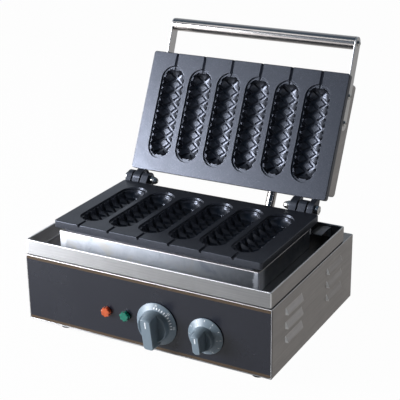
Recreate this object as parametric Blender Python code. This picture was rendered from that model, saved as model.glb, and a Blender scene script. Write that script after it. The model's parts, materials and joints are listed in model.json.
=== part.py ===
"""Waffle stick maker with six stick moulds, at its real size in metres, +Z up.

The base box stands on four feet and carries a tray, a heater box and the lower mould plate.
The upper mould plate is the same casting turned over, and swings on two interleaved hinges.
At rest the lid is open against its stops, as far as it goes.
"""
import math

import bmesh
import bpy
from mathutils import Vector
from mathutils.geometry import delaunay_2d_cdt

# Sizes shared by the whole machine
SHEET = 0.0012
SEAT_GAP = 0.0003
SCREW_PLAY = 0.0003
OVERRUN = 0.002
WELD = 0.000001

# Base box of folded sheet: x to the right, y to the back, z up from its underside
BASE_SIDE_REACH = 0.031
BASE_FRONT_REACH = 0.032
BASE_REAR_REACH = 0.0623
BASE_HEIGHT = 0.1045
PANEL_THICKNESS = 0.002
PANEL_RIM = 0.0015
PANEL_FLANGE = 0.012
BOTTOM_FLANGE = 0.036
DECK_SIDE_RIM = 0.050
DECK_FRONT_RIM = 0.0437
DECK_REAR_RIM = 0.0837

# Pressed louvres in both side walls, in rows one above the other
LOUVRE_LENGTH = 0.054
LOUVRE_HEIGHT = 0.010
LOUVRE_DEPTH = 0.0046
LOUVRE_SLIT = 0.001
LOUVRE_TOP_Z = 0.0835
LOUVRE_PITCH = 0.0211
LOUVRE_ROWS = 3
LOUVRE_FRONT_INSET = 0.06895
LOUVRE_REAR_INSET = 0.0749
LOUVRE_STATION_SHARES = ((-1.0, 0.3), (-0.86, 1.0), (0.86, 1.0), (1.0, 0.3))

# Slots in the underside and in the rear wall
SLOT_LENGTH = 0.046
SLOT_WIDTH = 0.004
SLOT_PITCH = 0.012
SLOTS_IN_ROW = 5
FLOOR_SLOT_X = (-0.080, 0.080)
REAR_SLOT_X = 0.085
REAR_SLOT_Z = 0.058
REAR_SLOTS = 5

# Rubber feet with a moulded stud
FOOT_RADIUS = 0.011
FOOT_TIP_RADIUS = 0.0092
FOOT_HEIGHT = 0.008
FOOT_STUD_RADIUS = 0.0023
FOOT_STUD_LENGTH = 0.006
FOOT_LEFT_INSET = 0.055
FOOT_RIGHT_INSET = 0.028
FOOT_END_INSET = 0.0177

# Tray on the base deck
TRAY_SIDE_STEP = 0.0018
TRAY_FRONT_STEP = 0.0002
TRAY_REAR_STEP = 0.0325
TRAY_HEIGHT = 0.0241
TRAY_HEM = 0.0025
TRAY_CHAMFER = 0.0022
TRAY_CORNER = 0.0015

# Heater box that stands in the tray and holds the lower plate
HEATER_BOX_SIDE_SETBACK = 0.0054
HEATER_BOX_FRONT_SETBACK = 0.0038
HEATER_BOX_REAR_SETBACK = 0.0177
HEATER_BOX_CORNER = 0.0025
HEATER_BOX_SIDE_LIP = 0.012
HEATER_BOX_END_LIP = 0.008

# Angle brackets between the heater box and the rear of the tray
BRACKET_WIDTH = 0.017
BRACKET_SIDE_GAP = 0.0212
BRACKET_DEPTH = 0.0367
BRACKET_HEIGHT = 0.019

# Hinge axis, and how far the lid opens from flat on the lower plate
HINGE_RISE = 0.0239
OPEN_ANGLE = math.radians(115.87)

# Mould casting, measured from the hinge axis: y to the back, z up out of the moulding face
FACE_GAP = 0.0003
PLATE_SETBACK = 0.0155
PLATE_SIDE_MARGIN = 0.0184
PLATE_LENGTH = 0.1931
PLATE_THICKNESS = 0.0109
PLATE_CORNER = 0.004
SKIRT_SIDE_SETBACK = 0.0135
SKIRT_DEPTH = 0.0051
SKIRT_REAR_SETBACK = 0.0192
SKIRT_FRONT_SETBACK = 0.0072
BLOCK_DEPTH = 0.0028
BLOCK_SIDE_SETBACK = 0.0045
BLOCK_SETBACK = 0.0065

# Six stick cavities and their lattice of studs
CAVITY_COUNT = 6
CAVITY_GAP = 0.0076
OUTLINE_RADIUS = 0.0213
OUTLINE_END_MARGIN = 0.02105
LEDGE_DEPTH = 0.0015
TROUGH_RADIUS = 0.0175
TROUGH_END_STEP = 0.006
TROUGH_DEPTH = 0.0155
TROUGH_WALL = 0.013
RIM_WIDTH = 0.003
RIM_STUD_DEPTH = 0.0045
MIDDLE_STUD_DEPTH = 0.008
STUD_CELL = 0.00965
STUD_TOP = 0.0084
LATTICE_END_STEP = 0.0115
BOWL_STEP = 0.0016
BOWL_INSET = 0.009
STICK_GROOVE_RADIUS = 0.0024

# Hinge knuckles, bolts and stops
KNUCKLE_RADIUS = 0.012
KNUCKLE_SINGLE = 0.013
KNUCKLE_OUTER = 0.0095
KNUCKLE_INNER = 0.012
KNUCKLE_PLAY = 0.0022
LEFT_HINGE_INSET = 0.0195
RIGHT_HINGE_INSET = 0.030
KNUCKLE_ARC_START = math.radians(-115)
KNUCKLE_ARC_END = math.radians(135)
STOP_ARC_END = math.radians(82)
WEB_LAP = 0.0035
WEB_STEP = 0.0003
BOLT_RADIUS = 0.004
BORE_RADIUS = 0.0042
BOLT_HEAD_ACROSS = 0.013
BOLT_HEAD_HEIGHT = 0.0053
ACORN_NUT_LENGTH = 0.0135
ACORN_HEX_LENGTH = 0.0055
ACORN_TIP_SHARE = 0.125
BOLT_END_DEPTH = 0.008
SET_SCREW_RADIUS = 0.0029
SET_SCREW_RISE = 0.0026
SET_SCREW_DEPTH = 0.003
STOP_FACE_START = 0.001
STOP_FACE_LENGTH = 0.0094

# Heating element, its clamp plate and the screws that hold the stack together
ELEMENT_RADIUS = 0.0038
ELEMENT_END_INSET = 0.03655
ELEMENT_ROWS = 4
ELEMENT_TURN_INSET = 0.059
ELEMENT_LEG_INSET = 0.029
ELEMENT_BEND = 0.010
ELEMENT_BOTTOM = -0.0535
ELEMENT_HOLE_RADIUS = 0.006
CLAMP_THICKNESS = 0.0015
CLAMP_SIDE_INSET = 0.049
CLAMP_END_LAP = 0.010
CLAMP_WINDOW_INSET = 0.008
CLAMP_WINDOW_GAP = 0.012
CLAMP_WINDOW_WIDTH = 0.034
BOSS_RADIUS = 0.006
BOSS_OFFSET = 0.060
STACK_SCREW_RADIUS = 0.0025
STACK_SCREW_HEAD_RADIUS = 0.0045
STACK_SCREW_HEAD = 0.003
STACK_SCREW_TIP = -0.0215
WOOL_MARGIN = 0.002

# Lid, in the closed pose: y = 0 and z = 0 at the hinge axis
COVER_SIDE_SETBACK = 0.0115
COVER_REAR_SETBACK = 0.0108
COVER_FRONT_SETBACK = 0.0057
COVER_TOP = 0.071
COVER_CORNER = 0.005
COVER_EDGE = 0.005
HANDLE_RADIUS = 0.0102
HANDLE_WALL = 0.0012
HANDLE_REACH = 0.0529
HANDLE_RISE = 0.031
HANDLE_PLUG = 0.008
STRAP_THICKNESS = 0.003
STRAP_HALF_WIDTH = 0.010
STRAP_LAP = 0.0659
STRAP_LOW_RISE = 0.0385
STRAP_SCREW_OFFSETS = (0.0015, 0.043)
LID_SCREW_RADIUS = 0.0024
LID_SCREW_HEAD_RADIUS = 0.0047
LID_SCREW_HEAD = 0.0028
LID_SCREW_LENGTH = 0.012

# Conduit for the lid's wires, from the cover's rear wall down into the base
CONDUIT_RADIUS = 0.0075
CONDUIT_X = 0.066
CONDUIT_RISE = 0.040
CONDUIT_INSET = 0.0187
CONDUIT_INSIDE_LID = 0.008
CONDUIT_INSIDE_BASE = 0.030
CONDUIT_TOP_PULL = 0.022
CONDUIT_BASE_PULL = 0.018
CONDUIT_NUT_ACROSS = 0.0235
CONDUIT_NUT_LENGTH = 0.008
GLAND_FLANGE_RADIUS = 0.012
GLAND_FLANGE_HEIGHT = 0.004
GLAND_SPIGOT_RADIUS = 0.0098
GLAND_SPIGOT_LENGTH = 0.008

# Controls on the front: the two knobs with their shafts, and two lamps
TIMER_INSET = 0.0997
TIMER_Z = 0.0424
KNOB_PITCH = 0.0778
THERMOSTAT_Z = 0.0429
KNOB_STANDOFF = 0.0006
KNOB_FLANGE = 0.0034
KNOB_CAP_HEIGHT = 0.0155
KNOB_HEIGHT = 0.0335
THERMOSTAT_FLANGE_RADIUS = 0.03225
THERMOSTAT_CAP_RADIUS = 0.0235
THERMOSTAT_CAP_TOP_RADIUS = 0.0178
THERMOSTAT_GRIP_UP = 0.0225
THERMOSTAT_GRIP_DOWN = 0.0305
THERMOSTAT_GRIP_WIDTH = 0.0125
TIMER_FLANGE_RADIUS = 0.02725
TIMER_CAP_RADIUS = 0.0195
TIMER_CAP_TOP_RADIUS = 0.0168
TIMER_GRIP_UP = 0.0160
TIMER_GRIP_DOWN = 0.0165
TIMER_GRIP_WIDTH = 0.0125
GRIP_TAPER = 0.0012
SHAFT_RADIUS = 0.003
SHAFT_FLAT = 0.0024
SHAFT_PLAY = 0.0003
SHAFT_IN_KNOB = 0.012
SHAFT_IN_BODY = 0.010
SHAFT_HOLE_RADIUS = 0.005
SWITCH_PLATE_THICKNESS = 0.0015
SWITCH_PLATE_WIDTH = 0.046
SWITCH_PLATE_HEIGHT = 0.020
THERMOSTAT_BODY_SIZE = 0.034
THERMOSTAT_BODY_DEPTH = 0.026
TIMER_BODY_SIZE = 0.042
TIMER_BODY_DEPTH = 0.034
SWITCH_CORNER_SHARE = 0.125
BLADE_WIDTH_SHARE = 0.167
BLADE_LENGTH_SHARE = 0.25
ORANGE_LAMP_OFFSET = 0.083
GREEN_LAMP_OFFSET = 0.0514
LAMP_Z = 0.0437
LAMP_RADIUS = 0.00925
LAMP_COLLAR = 0.0025
LAMP_DOME = 0.0055
LAMP_TIP_RADIUS = 0.0042
LAMP_BODY_RADIUS = 0.0058
LAMP_BODY_LENGTH = 0.026
LAMP_NUT_RADIUS = 0.0085
LAMP_NUT_HEIGHT = 0.003

# Wiring pieces inside the base and the mains inlet gland in its rear wall
TERMINAL_INSET = 0.0587
TERMINAL_LENGTH = 0.070
TERMINAL_WIDTH = 0.022
TERMINAL_HEIGHT = 0.017
TERMINAL_SLOTS = 5
TERMINAL_SLOT = 0.008
TERMINAL_SLOT_DEPTH = 0.006
INLET_INSET = 0.050
INLET_Z = 0.030
INLET_ACROSS = 0.022
INLET_HEX_LENGTH = 0.006
INLET_DOME_LENGTH = 0.012
INLET_DOME_RADIUS = 0.0095
INLET_THREAD_RADIUS = 0.0077
INLET_THREAD_LENGTH = 0.012
INLET_BORE_RADIUS = 0.0045
INLET_NUT_LENGTH = 0.004

# Facets of round pieces, in steps to a full turn
FINE_STEPS = 24
ROUND_STEPS = 12
SMALL_STEPS = 8
HEX_STEPS = 6
HEX_RING_STEPS = 18
CORNER_STEPS = 2
KNUCKLE_STEPS = 10
COVER_EDGE_STEPS = 3
CAVITY_END_STEPS = 5
TURN_STEPS = 5
BEND_STEPS = 2
DOME_STEPS = 3
CONDUIT_STEPS = 7
STRAP_END_STEPS = 6
GRIP_END_STEPS = 4
HOOD_STEPS = 3
HOLLOW_STEPS = 2
SMOOTH_ANGLE = math.radians(32)

# Heights and places that follow from the sizes above
CAVITY_PITCH = 2 * OUTLINE_RADIUS + CAVITY_GAP
PLATE_WIDTH = CAVITY_COUNT * CAVITY_PITCH + 2 * PLATE_SIDE_MARGIN
SKIRT_WIDTH = PLATE_WIDTH - 2 * SKIRT_SIDE_SETBACK
BLOCK_WIDTH = SKIRT_WIDTH - 2 * BLOCK_SIDE_SETBACK
HEATER_BOX_WIDTH = PLATE_WIDTH - 2 * HEATER_BOX_SIDE_SETBACK
COVER_WIDTH = PLATE_WIDTH - 2 * COVER_SIDE_SETBACK
LEFT_HINGE_X = -PLATE_WIDTH / 2 + LEFT_HINGE_INSET
RIGHT_HINGE_X = PLATE_WIDTH / 2 - RIGHT_HINGE_INSET
OUTLINE_HALF_LENGTH = PLATE_LENGTH / 2 - OUTLINE_END_MARGIN
TROUGH_HALF_LENGTH = OUTLINE_HALF_LENGTH - TROUGH_END_STEP
LATTICE_REACH = TROUGH_HALF_LENGTH - LATTICE_END_STEP
BOWL_START = LATTICE_REACH + BOWL_STEP
BASE_DEPTH = BASE_FRONT_REACH + PLATE_LENGTH + BASE_REAR_REACH
WALL_X = PLATE_WIDTH / 2 + BASE_SIDE_REACH
FRONT_Y = -BASE_DEPTH / 2
REAR_Y = BASE_DEPTH / 2
PANEL_BACK_Y = FRONT_Y + PANEL_THICKNESS
FLANGE_FRONT_Y = PANEL_BACK_Y + SEAT_GAP
SHELL_INNER_FRONT_Y = FLANGE_FRONT_Y + SHEET
FOOT_X = (-WALL_X + FOOT_LEFT_INSET, WALL_X - FOOT_RIGHT_INSET)
FOOT_Y = (FRONT_Y + FOOT_END_INSET, REAR_Y - FOOT_END_INSET)
TRAY_X = WALL_X - TRAY_SIDE_STEP
TRAY_FRONT_Y = FRONT_Y + TRAY_FRONT_STEP
TRAY_REAR_Y = REAR_Y - TRAY_REAR_STEP
TRAY_BOTTOM_Z = BASE_HEIGHT + SEAT_GAP
TRAY_TOP_Z = TRAY_BOTTOM_Z + TRAY_HEIGHT
TRAY_FLOOR_Z = TRAY_BOTTOM_Z + SHEET
HINGE_Z = TRAY_TOP_Z + HINGE_RISE
HEATER_BOX_BOTTOM_Z = TRAY_FLOOR_Z + SEAT_GAP
PLATE_BACK = -(FACE_GAP + PLATE_THICKNESS)
SKIRT_BACK = PLATE_BACK - SKIRT_DEPTH
BLOCK_BACK = SKIRT_BACK - BLOCK_DEPTH
HEATER_BOX_TOP_Z = HINGE_Z + SKIRT_BACK - SEAT_GAP
PLATE_REAR_Y = -PLATE_SETBACK
PLATE_FRONT_Y = PLATE_REAR_Y - PLATE_LENGTH
PLATE_MIDDLE_Y = (PLATE_FRONT_Y + PLATE_REAR_Y) / 2
HINGE_Y = FRONT_Y + BASE_FRONT_REACH - PLATE_FRONT_Y
HEATER_BOX_FRONT_Y = HINGE_Y + PLATE_FRONT_Y + HEATER_BOX_FRONT_SETBACK
HEATER_BOX_REAR_Y = HINGE_Y + PLATE_REAR_Y - HEATER_BOX_REAR_SETBACK
COVER_FRONT_Y = PLATE_FRONT_Y + COVER_FRONT_SETBACK
COVER_REAR_Y = PLATE_REAR_Y - COVER_REAR_SETBACK
HANDLE_Y = PLATE_FRONT_Y - HANDLE_REACH
STRAP_END_Y = COVER_FRONT_Y + STRAP_LAP
ELEMENT_CENTRE = BLOCK_BACK - SEAT_GAP - ELEMENT_RADIUS
CLAMP_FRONT = ELEMENT_CENTRE - ELEMENT_RADIUS - SEAT_GAP
CLAMP_BACK = CLAMP_FRONT - CLAMP_THICKNESS
BOSS_BACK = CLAMP_FRONT + SEAT_GAP
ELEMENT_SPAN = PLATE_LENGTH - 2 * ELEMENT_END_INSET
ELEMENT_ROW_PITCH = ELEMENT_SPAN / (ELEMENT_ROWS - 1)
ELEMENT_FIRST_ROW_Y = PLATE_MIDDLE_Y - ELEMENT_SPAN / 2
ELEMENT_LAST_ROW_Y = PLATE_MIDDLE_Y + ELEMENT_SPAN / 2
ELEMENT_TURN_X = PLATE_WIDTH / 2 - ELEMENT_TURN_INSET
ELEMENT_LEG_X = -PLATE_WIDTH / 2 + ELEMENT_LEG_INSET
CLAMP_HALF_WIDTH = PLATE_WIDTH / 2 - CLAMP_SIDE_INSET
CLAMP_HALF_LENGTH = ELEMENT_SPAN / 2 + CLAMP_END_LAP
CLAMP_WINDOW_HALF_LENGTH = ELEMENT_SPAN / 2 - CLAMP_WINDOW_INSET
LOWER_WOOL_BACK = HEATER_BOX_BOTTOM_Z + SHEET + SEAT_GAP - HINGE_Z
UPPER_WOOL_BACK = -(COVER_TOP - SHEET - SEAT_GAP)
STRAP_INNER_X = COVER_WIDTH / 2 + SEAT_GAP
CONDUIT_BASE_Y = REAR_Y - CONDUIT_INSET
TIMER_X = WALL_X - TIMER_INSET
THERMOSTAT_X = TIMER_X - KNOB_PITCH
LAMP_X = (THERMOSTAT_X - ORANGE_LAMP_OFFSET, THERMOSTAT_X - GREEN_LAMP_OFFSET)
TERMINAL_Y = REAR_Y - TERMINAL_INSET
INLET_X = -WALL_X + INLET_INSET
KNOB_FACE_REACH = BASE_DEPTH / 2 + KNOB_STANDOFF + KNOB_HEIGHT

# Directions of the opened lid, seen from the machine: along the plate and out of its back
OPEN_ALONG = Vector((0, -math.cos(OPEN_ANGLE), math.sin(OPEN_ANGLE)))
OPEN_BACK = Vector((0, math.sin(OPEN_ANGLE), math.cos(OPEN_ANGLE)))

# Colour, roughness and metallic value of each finish
STEEL = ((0.56, 0.55, 0.53), 0.32, 1.0)
DARK_STEEL = ((0.16, 0.16, 0.17), 0.38, 1.0)
BRIGHT_STEEL = ((0.78, 0.77, 0.75), 0.14, 1.0)
NON_STICK = ((0.035, 0.038, 0.045), 0.42, 0.0)
PANEL_BLACK = ((0.018, 0.018, 0.020), 0.18, 0.0)
KNOB_GREY = ((0.27, 0.33, 0.36), 0.45, 0.0)
RUBBER = ((0.02, 0.02, 0.02), 0.8, 0.0)
BLACK_PLASTIC = ((0.02, 0.02, 0.022), 0.5, 0.0)
WHITE_PLASTIC = ((0.75, 0.74, 0.70), 0.5, 0.0)
BRASS = ((0.70, 0.52, 0.25), 0.3, 1.0)
ORANGE_LENS = ((0.85, 0.17, 0.03), 0.25, 0.0)
GREEN_LENS = ((0.01, 0.28, 0.17), 0.25, 0.0)
ELEMENT_GREEN = ((0.07, 0.08, 0.07), 0.6, 0.3)
MINERAL_WOOL = ((0.62, 0.58, 0.48), 0.95, 0.0)

# Turns that point a shape built along +Z another way
FACING_FRONT = (math.radians(90), 0, 0)
FACING_BACK = (math.radians(-90), 0, 0)
FACING_RIGHT = (0, math.radians(90), 0)
FACING_LEFT = (0, math.radians(-90), 0)
LOUVRE_ON_RIGHT = (math.radians(90), 0, math.radians(90))
LOUVRE_ON_LEFT = (math.radians(90), 0, math.radians(-90))


# Outlines in a plane, as lists of points

def rectangle(left, right, front, rear):
    return [(left, front), (right, front), (right, rear), (left, rear)]


def rounded_rectangle(left, right, front, rear, radius, steps=CORNER_STEPS):
    corners = (
        (left + radius, front + radius, math.pi),
        (right - radius, front + radius, 1.5 * math.pi),
        (right - radius, rear - radius, 0),
        (left + radius, rear - radius, math.pi / 2),
    )
    points = []
    for x, y, start in corners:
        for step in range(steps + 1):
            angle = start + math.pi / 2 * step / steps
            points.append((x + radius * math.cos(angle), y + radius * math.sin(angle)))
    return points


def circle(radius, steps, centre=(0, 0)):
    points = []
    for step in range(steps):
        angle = 2 * math.pi * (step + 0.5) / steps
        points.append((centre[0] + radius * math.cos(angle), centre[1] + radius * math.sin(angle)))
    return points


def hexagon(across):
    """Hexagon with points on its sides, in step with a circle of as many points."""
    step_angle = 2 * math.pi / HEX_RING_STEPS
    points = []
    for step in range(HEX_RING_STEPS):
        on_side = (step * step_angle) % (math.pi / 3)
        reach = across / 2 / math.cos(on_side - math.pi / 6)
        angle = (step + 0.5) * step_angle
        points.append((reach * math.cos(angle), reach * math.sin(angle)))
    return points


def stadium(half_length, radius, steps):
    """Two half circles joined by straight sides, with the long axis on y."""
    reach = half_length - radius
    points = []
    for start, centre in ((0, reach), (math.pi, -reach)):
        for step in range(steps + 1):
            angle = start + math.pi * step / steps
            points.append((radius * math.cos(angle), centre + radius * math.sin(angle)))
    return points


def capsule(first, second, radius, steps):
    """Outline of constant half width around the line from first to second."""
    along = Vector(second) - Vector(first)
    heading = math.atan2(along.y, along.x)
    points = []
    for centre, start in ((first, heading + math.pi / 2), (second, heading - math.pi / 2)):
        for step in range(steps + 1):
            angle = start + math.pi * step / steps
            points.append((centre[0] + radius * math.cos(angle), centre[1] + radius * math.sin(angle)))
    return points


# Closed shells, as a list of rings of points joined in order

def level(points, height):
    return [Vector((x, y, height)) for x, y in points]


def across(points, place):
    """The outline's first axis becomes y and its second z, at one place along x."""
    return [Vector((place, y, z)) for y, z in points]


def box(low, high):
    outline = rectangle(low[0], high[0], low[1], high[1])
    return ([level(outline, low[2]), level(outline, high[2])], False)


def side_prism(points, left, right):
    return ([across(points, left), across(points, right)], False)


def turned(profile, steps=ROUND_STEPS):
    """A solid turned about z from (radius, height) pairs."""
    return ([level(circle(radius, steps), height) for radius, height in profile], False)


def turned_ring(profile, steps=ROUND_STEPS):
    """A turned piece with a bore: the profile runs once round its section."""
    return ([level(circle(radius, steps), height) for radius, height in profile], True)


def hex_ring(across, bore_radius, low, high):
    """A plain nut: hexagonal outside, round bore."""
    bore = circle(bore_radius, HEX_RING_STEPS)
    return ([level(hexagon(across), low), level(hexagon(across), high),
             level(bore, high), level(bore, low)], True)


def moved(shell, offset):
    rings, is_ring = shell
    shift = Vector(offset)
    return ([[point + shift for point in ring] for ring in rings], is_ring)


def add_shell(bm, shell):
    rings, is_ring = shell
    made = [[bm.verts.new(point) for point in ring] for ring in rings]
    pairs = list(zip(made, made[1:]))
    if is_ring:
        pairs.append((made[-1], made[0]))
    else:
        bm.faces.new(list(reversed(made[0])))
        bm.faces.new(made[-1])
    for lower, upper in pairs:
        count = len(lower)
        for index in range(count):
            following = (index + 1) % count
            bm.faces.new((lower[index], lower[following], upper[following], upper[index]))


def mesh_of(name, shells):
    bm = bmesh.new()
    for shell in shells:
        add_shell(bm, shell)
    bmesh.ops.recalc_face_normals(bm, faces=bm.faces)
    mesh = bpy.data.meshes.new(name)
    bm.to_mesh(mesh)
    bm.free()
    return mesh


# Objects: pieces, cutting tools and empties

def frame_empty(name, place, parent=None, turn=(0, 0, 0)):
    empty = bpy.data.objects.new(name, None)
    empty.location = place
    empty.rotation_euler = turn
    empty.parent = parent
    bpy.context.scene.collection.objects.link(empty)
    return empty


def piece(name, mesh, finish, parent, place=(0, 0, 0), turn=(0, 0, 0), smooth=False):
    colour, roughness, metallic = finish
    material = bpy.data.materials.new(name + "_finish")
    material.use_nodes = True
    shader = material.node_tree.nodes["Principled BSDF"]
    shader.inputs["Base Color"].default_value = (*colour, 1)
    shader.inputs["Roughness"].default_value = roughness
    shader.inputs["Metallic"].default_value = metallic
    material.diffuse_color = (*colour, 1)
    if smooth:
        mesh.shade_smooth()
        mesh.set_sharp_from_angle(angle=SMOOTH_ANGLE)
    made = bpy.data.objects.new(name, mesh)
    made.data.materials.append(material)
    made.location = place
    made.rotation_euler = turn
    made.parent = parent
    bpy.context.scene.collection.objects.link(made)
    return made


def combine(target, tool_name, mesh, operation, place=(0, 0, 0), turn=(0, 0, 0)):
    """Join or cut the target with a hidden shape that shares its parent."""
    tool = bpy.data.objects.new(tool_name, mesh)
    tool.parent = target.parent
    tool.location = place
    tool.rotation_euler = turn
    tool.hide_render = True
    tool.display_type = "WIRE"
    bpy.context.scene.collection.objects.link(tool)
    modifier = target.modifiers.new(tool_name, "BOOLEAN")
    modifier.operation = operation
    modifier.solver = "EXACT"
    modifier.object = tool


def cut(target, tool_name, shells, place=(0, 0, 0), turn=(0, 0, 0)):
    combine(target, tool_name, mesh_of(tool_name, shells), "DIFFERENCE", place, turn)


def join(target, tool_name, shells, place=(0, 0, 0), turn=(0, 0, 0)):
    combine(target, tool_name, mesh_of(tool_name, shells), "UNION", place, turn)


def through(radius, low, high, centre=(0, 0), steps=SMALL_STEPS):
    """A round hole's cutter along z, past both faces."""
    return ([level(circle(radius, steps, centre), low - OVERRUN),
             level(circle(radius, steps, centre), high + OVERRUN)], False)


# Base box

def louvre_hood(length, height, depth, back, slit, arc_steps):
    """Half-round hood that stands out along z, lies along x and opens towards -y."""
    rings = []
    for station_share, size_share in LOUVRE_STATION_SHARES:
        ring = [Vector((station_share * length / 2, -height / 2 - slit, -back))]
        for step in range(arc_steps + 1):
            angle = math.pi / 2 * step / arc_steps
            rise = -height / 2 + height * size_share * math.sin(angle)
            if step == 0:
                rise -= slit
            ring.append(Vector((station_share * length / 2, rise, depth * size_share * math.cos(angle))))
        ring.append(Vector((station_share * length / 2, ring[-1].y, -back)))
        rings.append(ring)
    return (rings, False)


def louvre_places():
    for column_y in (FRONT_Y + LOUVRE_FRONT_INSET, REAR_Y - LOUVRE_REAR_INSET):
        for row in range(LOUVRE_ROWS):
            yield column_y, LOUVRE_TOP_Z - row * LOUVRE_PITCH


def make_base_shell(machine):
    shell = piece("base_shell", mesh_of("base_shell", [
        box((-WALL_X, FRONT_Y, 0), (WALL_X, REAR_Y, BASE_HEIGHT))]), STEEL, machine)
    for side, turn, wall_x in (("right", LOUVRE_ON_RIGHT, WALL_X), ("left", LOUVRE_ON_LEFT, -WALL_X)):
        hood = louvre_hood(LOUVRE_LENGTH, LOUVRE_HEIGHT, LOUVRE_DEPTH, SHEET / 2, 0, HOOD_STEPS)
        direction = 1 if side == "right" else -1
        hoods = [moved(hood, (direction * y, z, 0)) for y, z in louvre_places()]
        join(shell, "louvre_hoods_" + side, hoods, (wall_x, 0, 0), turn)
    cut(shell, "shell_hollow", [box(
        (-WALL_X + SHEET, SHELL_INNER_FRONT_Y, SHEET),
        (WALL_X - SHEET, REAR_Y - SHEET, BASE_HEIGHT - SHEET))])
    cut(shell, "panel_recess", [box(
        (-WALL_X + PANEL_RIM, FRONT_Y - OVERRUN, PANEL_RIM),
        (WALL_X - PANEL_RIM, FLANGE_FRONT_Y, BASE_HEIGHT - PANEL_RIM))])
    cut(shell, "panel_opening", [box(
        (-WALL_X + SHEET + PANEL_FLANGE, FRONT_Y, SHEET + PANEL_FLANGE),
        (WALL_X - SHEET - PANEL_FLANGE, SHELL_INNER_FRONT_Y + OVERRUN,
         BASE_HEIGHT - SHEET - PANEL_FLANGE))])
    cut(shell, "floor_opening", [box(
        (-WALL_X + BOTTOM_FLANGE, FRONT_Y + BOTTOM_FLANGE, -OVERRUN),
        (WALL_X - BOTTOM_FLANGE, REAR_Y - BOTTOM_FLANGE, SHEET + OVERRUN))])
    cut(shell, "deck_opening", [box(
        (-WALL_X + DECK_SIDE_RIM, FRONT_Y + DECK_FRONT_RIM, BASE_HEIGHT - SHEET - OVERRUN),
        (WALL_X - DECK_SIDE_RIM, REAR_Y - DECK_REAR_RIM, BASE_HEIGHT + OVERRUN))])
    cut(shell, "conduit_hole", [through(
        GLAND_SPIGOT_RADIUS + SEAT_GAP, BASE_HEIGHT - SHEET, BASE_HEIGHT, (CONDUIT_X, CONDUIT_BASE_Y),
        ROUND_STEPS)])
    stud_hole = FOOT_STUD_RADIUS + SCREW_PLAY
    cut(shell, "foot_holes", [through(stud_hole, 0, SHEET, (x, y)) for x in FOOT_X for y in FOOT_Y])
    cut(shell, "inlet_hole", [turned([
        (INLET_THREAD_RADIUS + SEAT_GAP, -SHEET - OVERRUN), (INLET_THREAD_RADIUS + SEAT_GAP, OVERRUN)])],
        (INLET_X, REAR_Y, INLET_Z), FACING_BACK)
    slots = []
    for index in range(REAR_SLOTS):
        x = REAR_SLOT_X + (index - (REAR_SLOTS - 1) / 2) * SLOT_PITCH
        slots.append(box((x - SLOT_WIDTH / 2, REAR_Y - SHEET - OVERRUN, REAR_SLOT_Z - SLOT_LENGTH / 2),
                         (x + SLOT_WIDTH / 2, REAR_Y + OVERRUN, REAR_SLOT_Z + SLOT_LENGTH / 2)))
    cut(shell, "rear_slots", slots)
    for side, turn, wall_x in (("right", LOUVRE_ON_RIGHT, WALL_X), ("left", LOUVRE_ON_LEFT, -WALL_X)):
        hollow = louvre_hood(LOUVRE_LENGTH - 2 * SHEET, LOUVRE_HEIGHT - SHEET, LOUVRE_DEPTH - SHEET,
                             SHEET + OVERRUN, LOUVRE_SLIT, HOLLOW_STEPS)
        direction = 1 if side == "right" else -1
        hollows = [moved(hollow, (direction * y, z - SHEET / 2, 0)) for y, z in louvre_places()]
        cut(shell, "louvre_hollows_" + side, hollows, (wall_x, 0, 0), turn)


def make_front_panel(machine):
    reach = WALL_X - PANEL_RIM - SEAT_GAP
    panel = piece("front_panel", mesh_of("front_panel", [box(
        (-reach, FRONT_Y, PANEL_RIM + SEAT_GAP),
        (reach, PANEL_BACK_Y, BASE_HEIGHT - PANEL_RIM - SEAT_GAP))]), PANEL_BLACK, machine)
    holes = []
    for x, z in ((THERMOSTAT_X, THERMOSTAT_Z), (TIMER_X, TIMER_Z)):
        holes.append(through(SHAFT_HOLE_RADIUS, -PANEL_THICKNESS, 0, (x, z), ROUND_STEPS))
    for x in LAMP_X:
        holes.append(through(LAMP_BODY_RADIUS + SEAT_GAP, -PANEL_THICKNESS, 0, (x, LAMP_Z), ROUND_STEPS))
    cut(panel, "panel_holes", holes, (0, FRONT_Y, 0), FACING_FRONT)


def make_bottom_plate(machine):
    reach = WALL_X - SHEET - SEAT_GAP
    bottom = SHEET + SEAT_GAP
    plate = piece("bottom_plate", mesh_of("bottom_plate", [box(
        (-reach, SHELL_INNER_FRONT_Y + SEAT_GAP, bottom),
        (reach, REAR_Y - SHEET - SEAT_GAP, bottom + SHEET))]), STEEL, machine)
    cutters = [through(FOOT_STUD_RADIUS + SCREW_PLAY, bottom, bottom + SHEET, (x, y))
               for x in FOOT_X for y in FOOT_Y]
    for x in FLOOR_SLOT_X:
        for index in range(SLOTS_IN_ROW):
            y = (index - (SLOTS_IN_ROW - 1) / 2) * SLOT_PITCH
            cutters.append(box((x - SLOT_LENGTH / 2, y - SLOT_WIDTH / 2, bottom - OVERRUN),
                               (x + SLOT_LENGTH / 2, y + SLOT_WIDTH / 2, bottom + SHEET + OVERRUN)))
    cut(plate, "bottom_plate_cuts", cutters)


def make_feet(machine):
    mesh = mesh_of("foot", [turned([
        (FOOT_TIP_RADIUS, -FOOT_HEIGHT), (FOOT_RADIUS, -FOOT_HEIGHT / 2), (FOOT_RADIUS, -SEAT_GAP),
        (FOOT_STUD_RADIUS, -SEAT_GAP), (FOOT_STUD_RADIUS, FOOT_STUD_LENGTH)], SMALL_STEPS)])
    for y, row in zip(FOOT_Y, ("front", "rear")):
        for x, side in zip(FOOT_X, ("left", "right")):
            piece("foot_" + row + "_" + side, mesh.copy(), RUBBER, machine, (x, y, 0), smooth=True)


# Tray, heater box and brackets

def element_leg_places():
    for row_y in (ELEMENT_FIRST_ROW_Y, ELEMENT_LAST_ROW_Y):
        yield ELEMENT_LEG_X, row_y


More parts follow.
